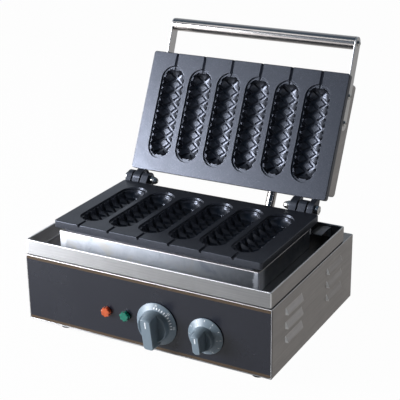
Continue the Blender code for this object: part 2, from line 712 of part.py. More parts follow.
def stack_screw_places():
    for x in (-BOSS_OFFSET, BOSS_OFFSET):
        yield x, PLATE_MIDDLE_Y


def stack_holes(leg_radius, screw_radius, low, high):
    """Cutters for the element's legs and the long screws, in the casting's frame."""
    holes = [through(leg_radius, low, high, place) for place in element_leg_places()]
    holes += [through(screw_radius, low, high, place) for place in stack_screw_places()]
    return holes


def make_tray(machine):
    outer_x = TRAY_X
    inner_x = outer_x - SHEET
    outer = rounded_rectangle(-outer_x, outer_x, TRAY_FRONT_Y, TRAY_REAR_Y, TRAY_CORNER + SHEET)
    foot = rounded_rectangle(-outer_x + TRAY_CHAMFER, outer_x - TRAY_CHAMFER, TRAY_FRONT_Y + TRAY_CHAMFER,
                             TRAY_REAR_Y - TRAY_CHAMFER, TRAY_CORNER + SHEET)
    hem = rounded_rectangle(-outer_x + TRAY_HEM, outer_x - TRAY_HEM, TRAY_FRONT_Y + TRAY_HEM,
                            TRAY_REAR_Y - TRAY_HEM, TRAY_CORNER)
    inner = rounded_rectangle(-inner_x, inner_x, TRAY_FRONT_Y + SHEET, TRAY_REAR_Y - SHEET, TRAY_CORNER)
    floor = rounded_rectangle(-inner_x + TRAY_CHAMFER, inner_x - TRAY_CHAMFER,
                              TRAY_FRONT_Y + SHEET + TRAY_CHAMFER,
                              TRAY_REAR_Y - SHEET - TRAY_CHAMFER, TRAY_CORNER)
    tray = piece("tray", mesh_of("tray", [([
        level(foot, TRAY_BOTTOM_Z), level(outer, TRAY_BOTTOM_Z + TRAY_CHAMFER), level(outer, TRAY_TOP_Z),
        level(hem, TRAY_TOP_Z), level(hem, TRAY_TOP_Z - SHEET), level(inner, TRAY_TOP_Z - SHEET),
        level(inner, TRAY_FLOOR_Z + TRAY_CHAMFER), level(floor, TRAY_FLOOR_Z)], False)]), STEEL, machine)
    cut(tray, "tray_holes", stack_holes(
        ELEMENT_HOLE_RADIUS, STACK_SCREW_RADIUS + SCREW_PLAY, TRAY_BOTTOM_Z - HINGE_Z,
        TRAY_FLOOR_Z - HINGE_Z), (0, HINGE_Y, HINGE_Z))


def make_heater_box(machine):
    outer_x = HEATER_BOX_WIDTH / 2
    wall_x = outer_x - SHEET
    lip_x = outer_x - HEATER_BOX_SIDE_LIP
    outer = rounded_rectangle(-outer_x, outer_x, HEATER_BOX_FRONT_Y, HEATER_BOX_REAR_Y, HEATER_BOX_CORNER)
    wall = rounded_rectangle(-wall_x, wall_x, HEATER_BOX_FRONT_Y + SHEET, HEATER_BOX_REAR_Y - SHEET,
                             HEATER_BOX_CORNER - SHEET)
    lip = rounded_rectangle(-lip_x, lip_x, HEATER_BOX_FRONT_Y + HEATER_BOX_END_LIP,
                            HEATER_BOX_REAR_Y - HEATER_BOX_END_LIP, HEATER_BOX_CORNER - SHEET)
    floor_z = HEATER_BOX_BOTTOM_Z + SHEET
    holder = piece("lower_heater_box", mesh_of("lower_heater_box", [([
        level(outer, HEATER_BOX_BOTTOM_Z), level(outer, HEATER_BOX_TOP_Z), level(lip, HEATER_BOX_TOP_Z),
        level(lip, HEATER_BOX_TOP_Z - SHEET), level(wall, HEATER_BOX_TOP_Z - SHEET),
        level(wall, floor_z)], False)]), STEEL, machine)
    cut(holder, "heater_box_holes", stack_holes(
        ELEMENT_HOLE_RADIUS, STACK_SCREW_RADIUS + SCREW_PLAY, HEATER_BOX_BOTTOM_Z - HINGE_Z,
        floor_z - HINGE_Z), (0, HINGE_Y, HINGE_Z))


def make_tray_brackets(machine):
    rear = TRAY_REAR_Y - SHEET - SEAT_GAP
    foot = TRAY_FLOOR_Z + TRAY_CHAMFER + SEAT_GAP
    top = TRAY_FLOOR_Z + BRACKET_HEIGHT
    front = rear - BRACKET_DEPTH
    angle = [(front, top - SHEET), (rear - SHEET, top - SHEET),
             (rear - SHEET, foot), (rear, foot), (rear, top), (front, top)]
    outer_x = TRAY_X - BRACKET_SIDE_GAP
    for side, near, far in (("right", outer_x - BRACKET_WIDTH, outer_x),
                            ("left", -outer_x, -outer_x + BRACKET_WIDTH)):
        piece("tray_bracket_" + side, mesh_of("tray_bracket_" + side, [side_prism(angle, near, far)]),
              STEEL, machine)


# Mould casting with its lattice cavities

def clipped(first, second, half_width, half_length):
    """The stretch of a line that lies inside a rectangle about the origin, or None."""
    start = 0
    end = 1
    run = (second[0] - first[0], second[1] - first[1])
    for axis, limit in ((0, half_width), (1, half_length)):
        for sign in (1, -1):
            slope = sign * run[axis]
            room = limit - sign * first[axis]
            if abs(slope) < WELD:
                if room < 0:
                    return None
            elif slope > 0:
                end = min(end, room / slope)
            else:
                start = max(start, room / slope)
    if start >= end:
        return None
    return ((first[0] + start * run[0], first[1] + start * run[1]),
            (first[0] + end * run[0], first[1] + end * run[1]))


def trough_inset(x, y):
    """How far a point of the plan lies inside the trough's rim."""
    core = TROUGH_HALF_LENGTH - TROUGH_RADIUS
    beyond = max(abs(y) - core, 0)
    return TROUGH_RADIUS - math.hypot(x, beyond)


def channel_depth(inset):
    """Depth of the smooth trough, which rounds down from its rim to a flat bottom."""
    share = min(inset / TROUGH_WALL, 1)
    return LEDGE_DEPTH + (TROUGH_DEPTH - LEDGE_DEPTH) * math.sqrt(1 - (1 - share) ** 2)


def stud_depth(inset):
    """Depth of the stud tops, which slope from the rim down to the middle of the trough."""
    if inset < RIM_WIDTH:
        return LEDGE_DEPTH + (RIM_STUD_DEPTH - LEDGE_DEPTH) * inset / RIM_WIDTH
    share = (inset - RIM_WIDTH) / (TROUGH_RADIUS - RIM_WIDTH)
    return RIM_STUD_DEPTH + (MIDDLE_STUD_DEPTH - RIM_STUD_DEPTH) * share


def cavity_depth(x, y):
    """Depth below the moulding face at a point of one cavity's plan."""
    inset = trough_inset(x, y)
    if inset <= WELD:
        return LEDGE_DEPTH
    if abs(y) > LATTICE_REACH + WELD:
        return channel_depth(inset)
    pitch = 2 * STUD_CELL
    rising = (x + y) / pitch
    falling = (x - y) / pitch
    off_centre = max(abs(rising - math.floor(rising) - 0.5), abs(falling - math.floor(falling) - 0.5))
    flank_share = (off_centre * pitch - STUD_TOP) / (STUD_CELL - STUD_TOP)
    flank_share = min(max(flank_share, 0), 1)
    return stud_depth(inset) + flank_share * (channel_depth(inset) - stud_depth(inset))


def lattice_lines():
    """Plan lines of the channels, of the studs' tops, and of the half studs' ridges at the rim."""
    rows = int(LATTICE_REACH / STUD_CELL) + 2
    half_width = TROUGH_RADIUS - RIM_WIDTH
    lines = []
    for line in range(-rows, rows + 1):
        offset = 2 * STUD_CELL * line
        for sign in (1, -1):
            lines.append(((-TROUGH_RADIUS, offset - sign * TROUGH_RADIUS),
                          (TROUGH_RADIUS, offset + sign * TROUGH_RADIUS)))
    for column in (-1, 0, 1):
        for row in range(-rows, rows + 1):
            if (column + row) % 2 == 0:
                continue
            x = column * STUD_CELL
            y = row * STUD_CELL
            corners = [(x + STUD_TOP, y), (x, y + STUD_TOP), (x - STUD_TOP, y), (x, y - STUD_TOP)]
            lines += list(zip(corners, corners[1:] + corners[:1]))
            if column == 0:
                lines.append((corners[1], corners[3]))
    found = [clipped(a, b, half_width, LATTICE_REACH) for a, b in lines]
    for row in range(1 - 2 * rows, 2 * rows, 2):
        for sign in (1, -1):
            y = row * STUD_CELL
            found.append(clipped((sign * STUD_CELL, y), (sign * TROUGH_RADIUS, y),
                                 TROUGH_RADIUS, LATTICE_REACH))
    return [line for line in found if line]


def cavity_plan():
    """Plan of one cavity, divided along every edge of its relief."""
    outline = stadium(OUTLINE_HALF_LENGTH, OUTLINE_RADIUS, CAVITY_END_STEPS)
    loops = [
        stadium(TROUGH_HALF_LENGTH, TROUGH_RADIUS, CAVITY_END_STEPS),
        stadium(TROUGH_HALF_LENGTH - RIM_WIDTH, TROUGH_RADIUS - RIM_WIDTH, CAVITY_END_STEPS),
    ]
    lines = lattice_lines()
    for loop in loops:
        lines += list(zip(loop, loop[1:] + loop[:1]))
    for edge_y in (LATTICE_REACH, BOWL_START):
        half = TROUGH_RADIUS - RIM_WIDTH / 2
        for sign in (1, -1):
            lines.append(((-half, sign * edge_y), (half, sign * edge_y)))
    bowl = stadium(TROUGH_HALF_LENGTH - BOWL_INSET, TROUGH_RADIUS - BOWL_INSET, CAVITY_END_STEPS)
    for a, b in zip(bowl, bowl[1:] + bowl[:1]):
        if min(abs(a[1]), abs(b[1])) > BOWL_START:
            lines.append((a, b))
    points = [Vector(point) for point in outline]
    edges = []
    for a, b in lines:
        edges.append((len(points), len(points) + 1))
        points += [Vector(a), Vector(b)]
    found = delaunay_2d_cdt(points, edges, [list(range(len(outline)))], 1, WELD)
    return found[0], found[2]


def cavity_cutter_mesh():
    """Six closed cutters: the relief below, a flat top above the moulding face."""
    plan_points, plan_faces = cavity_plan()
    bm = bmesh.new()
    for index in range(CAVITY_COUNT):
        centre_x = (index - (CAVITY_COUNT - 1) / 2) * CAVITY_PITCH
        used = sorted({corner for face in plan_faces for corner in face})
        made = {}
        for corner in used:
            x, y = plan_points[corner]
            z = -FACE_GAP - cavity_depth(x, y)
            made[corner] = bm.verts.new((centre_x + x, PLATE_MIDDLE_Y + y, z))
        for face in plan_faces:
            bm.faces.new([made[corner] for corner in face])
    rim = [edge for edge in bm.edges if edge.is_boundary]
    raised = bmesh.ops.extrude_edge_only(bm, edges=rim)["geom"]
    for vert in raised:
        if isinstance(vert, bmesh.types.BMVert):
            vert.co.z = OVERRUN
    bmesh.ops.contextual_create(bm, geom=[edge for edge in bm.edges if edge.is_boundary])
    bmesh.ops.recalc_face_normals(bm, faces=bm.faces)
    mesh = bpy.data.meshes.new("cavity_cutters")
    bm.to_mesh(mesh)
    bm.free()
    return mesh


def stick_grooves():
    """Half-round grooves for the sticks, from each cavity to the plate's front edge."""
    front = PLATE_FRONT_Y - OVERRUN
    rear = PLATE_MIDDLE_Y - OUTLINE_HALF_LENGTH + OVERRUN
    shells = []
    for index in range(CAVITY_COUNT):
        x = (index - (CAVITY_COUNT - 1) / 2) * CAVITY_PITCH
        ring = circle(STICK_GROOVE_RADIUS, SMALL_STEPS)
        shells.append(([[Vector((x + a, y, b)) for a, b in ring] for y in (front, rear)], False))
    return shells


def knuckle_outline(has_stop):
    """Side view of one knuckle with its web, in y and z from the hinge axis."""
    slab_top = -FACE_GAP - WEB_STEP
    slab_bottom = PLATE_BACK + WEB_STEP
    inside_y = PLATE_REAR_Y - WEB_LAP
    arc = KNUCKLE_ARC_END - KNUCKLE_ARC_START
    stop_angle = math.pi - OPEN_ANGLE
    outward = Vector((math.cos(stop_angle), math.sin(stop_angle)))
    sideways = Vector((outward.y, -outward.x))
    root = PLATE_SETBACK - SEAT_GAP
    stop_points = [outward * root + sideways * (STOP_FACE_START + STOP_FACE_LENGTH),
                   outward * root + sideways * STOP_FACE_START]
    points = [(inside_y, slab_bottom)]
    stop_placed = False
    for step in range(KNUCKLE_STEPS + 1):
        angle = KNUCKLE_ARC_START + arc * step / KNUCKLE_STEPS
        if has_stop and 0 < angle < STOP_ARC_END:
            if not stop_placed:
                points += [tuple(point) for point in stop_points]
                stop_placed = True
            continue
        points.append((KNUCKLE_RADIUS * math.cos(angle), KNUCKLE_RADIUS * math.sin(angle)))
    points.append((PLATE_REAR_Y, slab_top))
    points.append((inside_y, slab_top))
    return points


def single_span(centre):
    return (centre - KNUCKLE_SINGLE / 2, centre + KNUCKLE_SINGLE / 2)


def pair_spans(centre):
    """Outer and inner knuckle on both sides of the single one; the inner is nearer x = 0."""
    side = 1 if centre > 0 else -1
    near = KNUCKLE_SINGLE / 2 + KNUCKLE_PLAY
    outer = sorted((centre + side * near, centre + side * (near + KNUCKLE_OUTER)))
    inner = sorted((centre - side * near, centre - side * (near + KNUCKLE_INNER)))
    return outer, inner


def make_mould_plate(name, side_frame, knuckle_spans, has_stop):
    """The casting with its face up: slab, skirt, block, bosses, knuckles and six cavities."""
    half = PLATE_WIDTH / 2
    slab = rounded_rectangle(-half, half, PLATE_FRONT_Y, PLATE_REAR_Y, PLATE_CORNER)
    skirt_half = SKIRT_WIDTH / 2
    skirt_front = PLATE_FRONT_Y + SKIRT_FRONT_SETBACK
    skirt_rear = PLATE_REAR_Y - SKIRT_REAR_SETBACK
    skirt = rounded_rectangle(-skirt_half, skirt_half, skirt_front, skirt_rear, PLATE_CORNER)
    block_half = BLOCK_WIDTH / 2
    block = rounded_rectangle(-block_half, block_half, skirt_front + BLOCK_SETBACK,
                              skirt_rear - BLOCK_SETBACK, PLATE_CORNER)
    plate = piece(name, mesh_of(name, [([
        level(block, BLOCK_BACK), level(block, SKIRT_BACK), level(skirt, SKIRT_BACK),
        level(skirt, PLATE_BACK), level(slab, PLATE_BACK), level(slab, -FACE_GAP)], False)]),
        NON_STICK, side_frame)
    outline = knuckle_outline(has_stop)
    join(plate, name + "_knuckles", [side_prism(outline, left, right) for left, right in knuckle_spans])
    join(plate, name + "_bosses", [
        ([level(circle(BOSS_RADIUS, SMALL_STEPS, place), BOSS_BACK),
          level(circle(BOSS_RADIUS, SMALL_STEPS, place), BLOCK_BACK + SEAT_GAP)], False)
        for place in stack_screw_places()])
    cut(plate, name + "_tapped_holes", [
        ([level(circle(STACK_SCREW_RADIUS + SCREW_PLAY, SMALL_STEPS, place), BOSS_BACK - OVERRUN),
          level(circle(STACK_SCREW_RADIUS + SCREW_PLAY, SMALL_STEPS, place), STACK_SCREW_TIP + SEAT_GAP)],
         False) for place in stack_screw_places()])
    combine(plate, name + "_cavities", cavity_cutter_mesh(), "DIFFERENCE")
    cut(plate, name + "_stick_grooves", stick_grooves())
    for left, right in knuckle_spans:
        middle = (left + right) / 2
        reach = (right - left) / 2 + OVERRUN / 2
        cut(plate, name + "_bore", [turned([(BORE_RADIUS, -reach), (BORE_RADIUS, reach)])],
            (middle, 0, 0), FACING_RIGHT)
    return plate


def make_lower_plate(lower_side):
    outer, inner = pair_spans(LEFT_HINGE_X)
    plate = make_mould_plate("lower_mould_plate", lower_side, [outer, inner, single_span(RIGHT_HINGE_X)],
                             False)
    screw_x = (inner[0] + inner[1]) / 2
    bottom = KNUCKLE_RADIUS - SET_SCREW_DEPTH
    cut(plate, "set_screw_hole", [([
        level(circle(SET_SCREW_RADIUS + SCREW_PLAY, SMALL_STEPS, (screw_x, 0)), bottom - SEAT_GAP),
        level(circle(SET_SCREW_RADIUS + SCREW_PLAY, SMALL_STEPS, (screw_x, 0)), KNUCKLE_RADIUS + OVERRUN)],
        False)])
    piece("hinge_set_screw", mesh_of("hinge_set_screw", [turned([
        (SET_SCREW_RADIUS, bottom), (SET_SCREW_RADIUS, KNUCKLE_RADIUS + SET_SCREW_RISE)], SMALL_STEPS)]),
        DARK_STEEL, lower_side, (screw_x, 0, 0), smooth=True)


def make_upper_plate(upper_side):
    """The same casting turned over, so left and right are exchanged in its own frame."""
    outer, inner = pair_spans(-RIGHT_HINGE_X)
    make_mould_plate("upper_mould_plate", upper_side, [outer, inner, single_span(-LEFT_HINGE_X)], True)


# Heating element, clamp plate, wool and screws of either side

def element_route():
    """Centre line of the tube: a leg, rows joined by half turns, and the other leg."""
    turn_radius = ELEMENT_ROW_PITCH / 2
    bend_x = ELEMENT_LEG_X + ELEMENT_BEND
    bend_z = ELEMENT_CENTRE - ELEMENT_BEND
    points = [Vector((ELEMENT_LEG_X, ELEMENT_FIRST_ROW_Y, ELEMENT_BOTTOM))]
    for step in range(BEND_STEPS + 1):
        angle = math.pi / 2 * step / BEND_STEPS
        points.append(Vector((bend_x - ELEMENT_BEND * math.cos(angle), ELEMENT_FIRST_ROW_Y,
                              bend_z + ELEMENT_BEND * math.sin(angle))))
    for row in range(ELEMENT_ROWS - 1):
        side = 1 if row % 2 == 0 else -1
        middle_y = ELEMENT_FIRST_ROW_Y + (row + 0.5) * ELEMENT_ROW_PITCH
        for step in range(TURN_STEPS + 1):
            angle = -math.pi / 2 + math.pi * step / TURN_STEPS
            points.append(Vector((side * (ELEMENT_TURN_X + turn_radius * math.cos(angle)),
                                  middle_y + turn_radius * math.sin(angle), ELEMENT_CENTRE)))
    for step in range(BEND_STEPS, -1, -1):
        angle = math.pi / 2 * step / BEND_STEPS
        points.append(Vector((bend_x - ELEMENT_BEND * math.cos(angle), ELEMENT_LAST_ROW_Y,
                              bend_z + ELEMENT_BEND * math.sin(angle))))
    points.append(Vector((ELEMENT_LEG_X, ELEMENT_LAST_ROW_Y, ELEMENT_BOTTOM)))
    return points


def tube_object(name, points, radius, resolution, finish, parent):
    """A closed tube along a list of points."""
    curve = bpy.data.curves.new(name, "CURVE")
    curve.dimensions = "3D"
    curve.bevel_depth = radius
    curve.bevel_resolution = resolution
    curve.use_fill_caps = True
    spline = curve.splines.new("POLY")
    spline.points.add(len(points) - 1)
    for slot, point in zip(spline.points, points):
        slot.co = (*point, 1)
    return piece(name, curve, finish, parent)


def stack_screw(name, seat, parent, place):
    """Long screw whose head bears on the sheet at the given height and whose tip is in a boss."""
    under_head = seat - SEAT_GAP
    piece(name, mesh_of(name, [([
        level(circle(STACK_SCREW_HEAD_RADIUS, HEX_STEPS), under_head - STACK_SCREW_HEAD),
        level(circle(STACK_SCREW_HEAD_RADIUS, HEX_STEPS), under_head),
        level(circle(STACK_SCREW_RADIUS, HEX_STEPS), under_head),
        level(circle(STACK_SCREW_RADIUS, HEX_STEPS), STACK_SCREW_TIP)], False)]),
        BRIGHT_STEEL, parent, (place[0], place[1], 0))


def make_heater_stack(label, side_frame, wool_back, wool_front_y, wool_rear_y, wool_half, screw_seat):
    tube_object(label + "_element", element_route(), ELEMENT_RADIUS, 1, ELEMENT_GREEN, side_frame)
    clamp = piece(label + "_clamp_plate", mesh_of(label + "_clamp_plate", [box(
        (-CLAMP_HALF_WIDTH, PLATE_MIDDLE_Y - CLAMP_HALF_LENGTH, CLAMP_BACK),
        (CLAMP_HALF_WIDTH, PLATE_MIDDLE_Y + CLAMP_HALF_LENGTH, CLAMP_FRONT))]), STEEL, side_frame)
    near = BOSS_OFFSET - CLAMP_WINDOW_GAP
    far = BOSS_OFFSET + CLAMP_WINDOW_GAP
    spans = ((-far - CLAMP_WINDOW_WIDTH, -far), (-near, near), (far, far + CLAMP_WINDOW_WIDTH))
    windows = [box((left, PLATE_MIDDLE_Y - CLAMP_WINDOW_HALF_LENGTH, CLAMP_BACK - OVERRUN),
                   (right, PLATE_MIDDLE_Y + CLAMP_WINDOW_HALF_LENGTH, CLAMP_FRONT + OVERRUN))
               for left, right in spans]
    windows += [through(STACK_SCREW_RADIUS + SCREW_PLAY, CLAMP_BACK, CLAMP_FRONT, place)
                for place in stack_screw_places()]
    cut(clamp, label + "_clamp_windows", windows)
    wool = piece(label + "_wool", mesh_of(label + "_wool", [box(
        (-wool_half, wool_front_y, wool_back), (wool_half, wool_rear_y, CLAMP_BACK - SEAT_GAP))]),
        MINERAL_WOOL, side_frame)
    cut(wool, label + "_wool_holes", stack_holes(
        ELEMENT_HOLE_RADIUS, STACK_SCREW_RADIUS + SCREW_PLAY, wool_back, CLAMP_BACK))
    for index, place in enumerate(stack_screw_places()):
        stack_screw(label + "_stack_screw_" + str(index + 1), screw_seat, side_frame, place)


# Lid: cover, handle and straps, in the closed pose

def make_cover(lid):
    def outline(inset):
        half = COVER_WIDTH / 2 - inset
        return rounded_rectangle(-half, half, COVER_FRONT_Y + inset, COVER_REAR_Y - inset, COVER_CORNER)

    low = -PLATE_BACK + SEAT_GAP
    skin = []
    for step in range(COVER_EDGE_STEPS, -1, -1):
        angle = math.pi / 2 * step / COVER_EDGE_STEPS
        skin.append(level(outline(COVER_EDGE * (1 - math.cos(angle))),
                          COVER_TOP - COVER_EDGE + COVER_EDGE * math.sin(angle)))
    skin += [level(outline(0), low), level(outline(SHEET), low),
             level(outline(SHEET), COVER_TOP - COVER_EDGE), level(outline(COVER_EDGE), COVER_TOP - SHEET)]
    cover = piece("upper_cover", mesh_of("upper_cover", [(skin, False)]), STEEL, lid)
    cut(cover, "cover_screw_holes", [
        through(STACK_SCREW_RADIUS + SCREW_PLAY, COVER_TOP - SHEET, COVER_TOP, place)
        for place in stack_screw_places()])
    for side, direction in (("right", FACING_RIGHT), ("left", FACING_LEFT)):
        sign = 1 if side == "right" else -1
        for index, (y, z) in enumerate(strap_screw_places()):
            cut(cover, "strap_hole_" + side + str(index), [turned([
                (LID_SCREW_RADIUS + SCREW_PLAY, -SHEET - OVERRUN),
                (LID_SCREW_RADIUS + SCREW_PLAY, OVERRUN)], SMALL_STEPS)],
                (sign * COVER_WIDTH / 2, y, z), direction)
    cut(cover, "conduit_entry", [turned([
        (CONDUIT_RADIUS + SEAT_GAP, -SHEET - OVERRUN), (CONDUIT_RADIUS + SEAT_GAP, OVERRUN)])],
        (CONDUIT_X, COVER_REAR_Y, CONDUIT_RISE), FACING_BACK)


def strap_screw_places():
    """Places along the strap, from its lower end towards the handle."""
    low = Vector((STRAP_END_Y, STRAP_LOW_RISE))
    along = (Vector((HANDLE_Y, HANDLE_RISE)) - low).normalized()
    return [tuple(low + along * offset) for offset in STRAP_SCREW_OFFSETS]


def lid_screw_profile(length):
    head = LID_SCREW_HEAD_RADIUS
    return [(LID_SCREW_RADIUS, -length), (LID_SCREW_RADIUS, SEAT_GAP), (head, SEAT_GAP),
            (head, SEAT_GAP + LID_SCREW_HEAD / 2), (head / 2, SEAT_GAP + LID_SCREW_HEAD)]


def make_handle(lid):
    tube_half = STRAP_INNER_X - SEAT_GAP
    bore = HANDLE_RADIUS - HANDLE_WALL
    piece("handle_tube", mesh_of("handle_tube", [turned_ring([
        (HANDLE_RADIUS, -tube_half), (HANDLE_RADIUS, tube_half), (bore, tube_half), (bore, -tube_half)],
        FINE_STEPS)]), BRIGHT_STEEL, lid, (0, HANDLE_Y, HANDLE_RISE), FACING_RIGHT, smooth=True)
    outline = capsule((HANDLE_Y, HANDLE_RISE), (STRAP_END_Y, STRAP_LOW_RISE), STRAP_HALF_WIDTH,
                      STRAP_END_STEPS)
    outer_x = STRAP_INNER_X + STRAP_THICKNESS
    for side, sign, direction in (("right", 1, FACING_RIGHT), ("left", -1, FACING_LEFT)):
        faces = sorted((sign * STRAP_INNER_X, sign * outer_x))
        strap = piece("strap_" + side, mesh_of("strap_" + side, [side_prism(outline, *faces)]),
                      BRIGHT_STEEL, lid)
        places = [(HANDLE_Y, HANDLE_RISE)] + strap_screw_places()
        for index, (y, z) in enumerate(places):
            cut(strap, "strap_bore_" + side + str(index), [turned([
                (LID_SCREW_RADIUS + SCREW_PLAY, -STRAP_THICKNESS - OVERRUN),
                (LID_SCREW_RADIUS + SCREW_PLAY, OVERRUN)], SMALL_STEPS)],
                (sign * outer_x, y, z), direction)
        for index, (y, z) in enumerate(strap_screw_places()):
            name = "strap_screw_" + side + "_" + str(index + 1)
            piece(name, mesh_of(name, [turned(lid_screw_profile(LID_SCREW_LENGTH), SMALL_STEPS)]),
                  BRIGHT_STEEL, lid, (sign * outer_x, y, z), direction, smooth=True)
        name = "handle_screw_" + side
        piece(name, mesh_of(name, [turned(lid_screw_profile(LID_SCREW_LENGTH), SMALL_STEPS)]),
              BRIGHT_STEEL, lid, (sign * outer_x, HANDLE_Y, HANDLE_RISE), direction, smooth=True)
        name = "handle_plug_" + side
        hole = LID_SCREW_RADIUS + SCREW_PLAY
        rim = bore - SEAT_GAP
        piece(name, mesh_of(name, [turned_ring([
            (rim, -HANDLE_PLUG), (rim, 0), (hole, 0), (hole, -HANDLE_PLUG)], ROUND_STEPS)]),
            STEEL, lid, (sign * tube_half, HANDLE_Y, HANDLE_RISE), direction, smooth=True)


# Hinge bolts and acorn nuts

def make_hinge_fasteners(lower_side):
    for label, centre in (("left", LEFT_HINGE_X), ("right", RIGHT_HINGE_X)):
        outer, inner = pair_spans(centre)
        sign = 1 if centre > 0 else -1
        direction = FACING_RIGHT if sign > 0 else FACING_LEFT
        head_face = max(abs(outer[0]), abs(outer[1])) + SEAT_GAP
        nut_face = min(abs(inner[0]), abs(inner[1])) - SEAT_GAP
        shank = head_face - nut_face + BOLT_END_DEPTH
        hex_radius = BOLT_HEAD_ACROSS / math.sqrt(3)
        bolt_name = "hinge_bolt_" + label
        bolt = piece(bolt_name, mesh_of(bolt_name, [turned(
            [(BOLT_RADIUS, -shank), (BOLT_RADIUS, SEAT_GAP)], ROUND_STEPS)]),
            BRIGHT_STEEL, lower_side, (sign * head_face, 0, 0), direction, smooth=True)
        join(bolt, bolt_name + "_head", [turned(
            [(hex_radius, 0), (hex_radius, BOLT_HEAD_HEIGHT)], HEX_STEPS)],
            (sign * head_face, 0, 0), direction)
        nut_name = "acorn_nut_" + label
        dome_radius = BOLT_HEAD_ACROSS / 2
        dome_length = ACORN_NUT_LENGTH - ACORN_HEX_LENGTH
        dome = [(dome_radius, -ACORN_HEX_LENGTH + SEAT_GAP)]
        for step in range(DOME_STEPS):
            angle = math.pi / 2 * step / DOME_STEPS
            dome.append((dome_radius * math.cos(angle), -ACORN_HEX_LENGTH - dome_length * math.sin(angle)))
        dome.append((dome_radius * ACORN_TIP_SHARE, -ACORN_NUT_LENGTH))
        nut = piece(nut_name, mesh_of(nut_name, [turned(
            [(hex_radius, 0), (hex_radius, -ACORN_HEX_LENGTH)], HEX_STEPS)]),
            BRIGHT_STEEL, lower_side, (sign * nut_face, 0, 0), direction, smooth=True)
        join(nut, nut_name + "_dome", [turned(dome, ROUND_STEPS)], (sign * nut_face, 0, 0), direction)
        cut(nut, nut_name + "_thread", [turned(
            [(BOLT_RADIUS + SCREW_PLAY, -BOLT_END_DEPTH - SEAT_GAP), (BOLT_RADIUS + SCREW_PLAY, OVERRUN)],
            ROUND_STEPS)], (sign * nut_face, 0, 0), direction)


# Conduit between the base and the lid

def conduit_route():
    """Centre line in the machine frame: out of the cover, curving to stand upright in the deck."""
    hinge = Vector((0, HINGE_Y, HINGE_Z))
    wall = hinge - OPEN_ALONG * COVER_REAR_Y + OPEN_BACK * CONDUIT_RISE + Vector((CONDUIT_X, 0, 0))
    deck = Vector((CONDUIT_X, CONDUIT_BASE_Y, BASE_HEIGHT + GLAND_FLANGE_HEIGHT))
    first = wall - OPEN_ALONG * CONDUIT_NUT_LENGTH
    pull_top = first - OPEN_ALONG * CONDUIT_TOP_PULL
    pull_base = deck + Vector((0, 0, CONDUIT_BASE_PULL))
    points = [wall + OPEN_ALONG * (SHEET + CONDUIT_INSIDE_LID)]
    for step in range(CONDUIT_STEPS + 1):
        t = step / CONDUIT_STEPS
        points.append((1 - t) ** 3 * first + 3 * (1 - t) ** 2 * t * pull_top
                      + 3 * (1 - t) * t ** 2 * pull_base + t ** 3 * deck)
    points.append(deck - Vector((0, 0, CONDUIT_INSIDE_BASE)))
    return points


def make_conduit(machine, lid):
    tube_object("lid_conduit", conduit_route(), CONDUIT_RADIUS, 2, BRIGHT_STEEL, machine)
    bore = CONDUIT_RADIUS + SEAT_GAP
    piece("conduit_nut", mesh_of("conduit_nut", [
        hex_ring(CONDUIT_NUT_ACROSS, bore, SEAT_GAP, CONDUIT_NUT_LENGTH)]),
        BRIGHT_STEEL, lid, (CONDUIT_X, COVER_REAR_Y, CONDUIT_RISE), FACING_BACK)
    top = GLAND_FLANGE_HEIGHT
    piece("conduit_grommet", mesh_of("conduit_grommet", [turned_ring([
        (GLAND_SPIGOT_RADIUS, -GLAND_SPIGOT_LENGTH), (GLAND_SPIGOT_RADIUS, SEAT_GAP),
        (GLAND_FLANGE_RADIUS, SEAT_GAP), (GLAND_FLANGE_RADIUS, top / 2), (GLAND_SPIGOT_RADIUS, top),
        (bore, top), (bore, -GLAND_SPIGOT_LENGTH)])]), RUBBER, machine,
        (CONDUIT_X, CONDUIT_BASE_Y, BASE_HEIGHT), smooth=True)


# Controls on the front panel

def knob_shells(flange_radius, cap_radius, cap_top_radius):
    return [turned([
        (flange_radius - KNOB_FLANGE / 2, 0), (flange_radius, KNOB_FLANGE / 2),
        (flange_radius - KNOB_FLANGE / 2, KNOB_FLANGE), (cap_radius, KNOB_FLANGE),
        (cap_radius, KNOB_CAP_HEIGHT / 2), (cap_top_radius, KNOB_CAP_HEIGHT)], FINE_STEPS)]


def grip_shell(width, up, down):
    """Bar across the knob, a little narrower at its face and sloped at its pointing end."""
    rings = []
    for taper, height in ((0, KNOB_FLANGE / 2), (0, KNOB_FLANGE + GRIP_TAPER),
                          (GRIP_TAPER, KNOB_HEIGHT - GRIP_TAPER), (2 * GRIP_TAPER, KNOB_HEIGHT)):
        radius = width / 2 - taper
        top = (0, up - taper - radius)
        bottom = (0, -down + taper + radius)
        rings.append(level(capsule(bottom, top, radius, GRIP_END_STEPS), height))
    return (rings, False)


def make_knob(name, axis, flange_radius, cap_radius, cap_top_radius, grip):
    knob = piece(name, mesh_of(name, knob_shells(flange_radius, cap_radius, cap_top_radius)),
                 KNOB_GREY, axis, (0, 0, 0), FACING_FRONT, smooth=True)
    join(knob, name + "_grip", [grip_shell(*grip)], (0, 0, 0), FACING_FRONT)
    cut(knob, name + "_bore", [turned([
        (SHAFT_RADIUS + SHAFT_PLAY, -OVERRUN), (SHAFT_RADIUS + SHAFT_PLAY, SHAFT_IN_KNOB + SEAT_GAP)],
        SMALL_STEPS)], (0, 0, 0), FACING_FRONT)


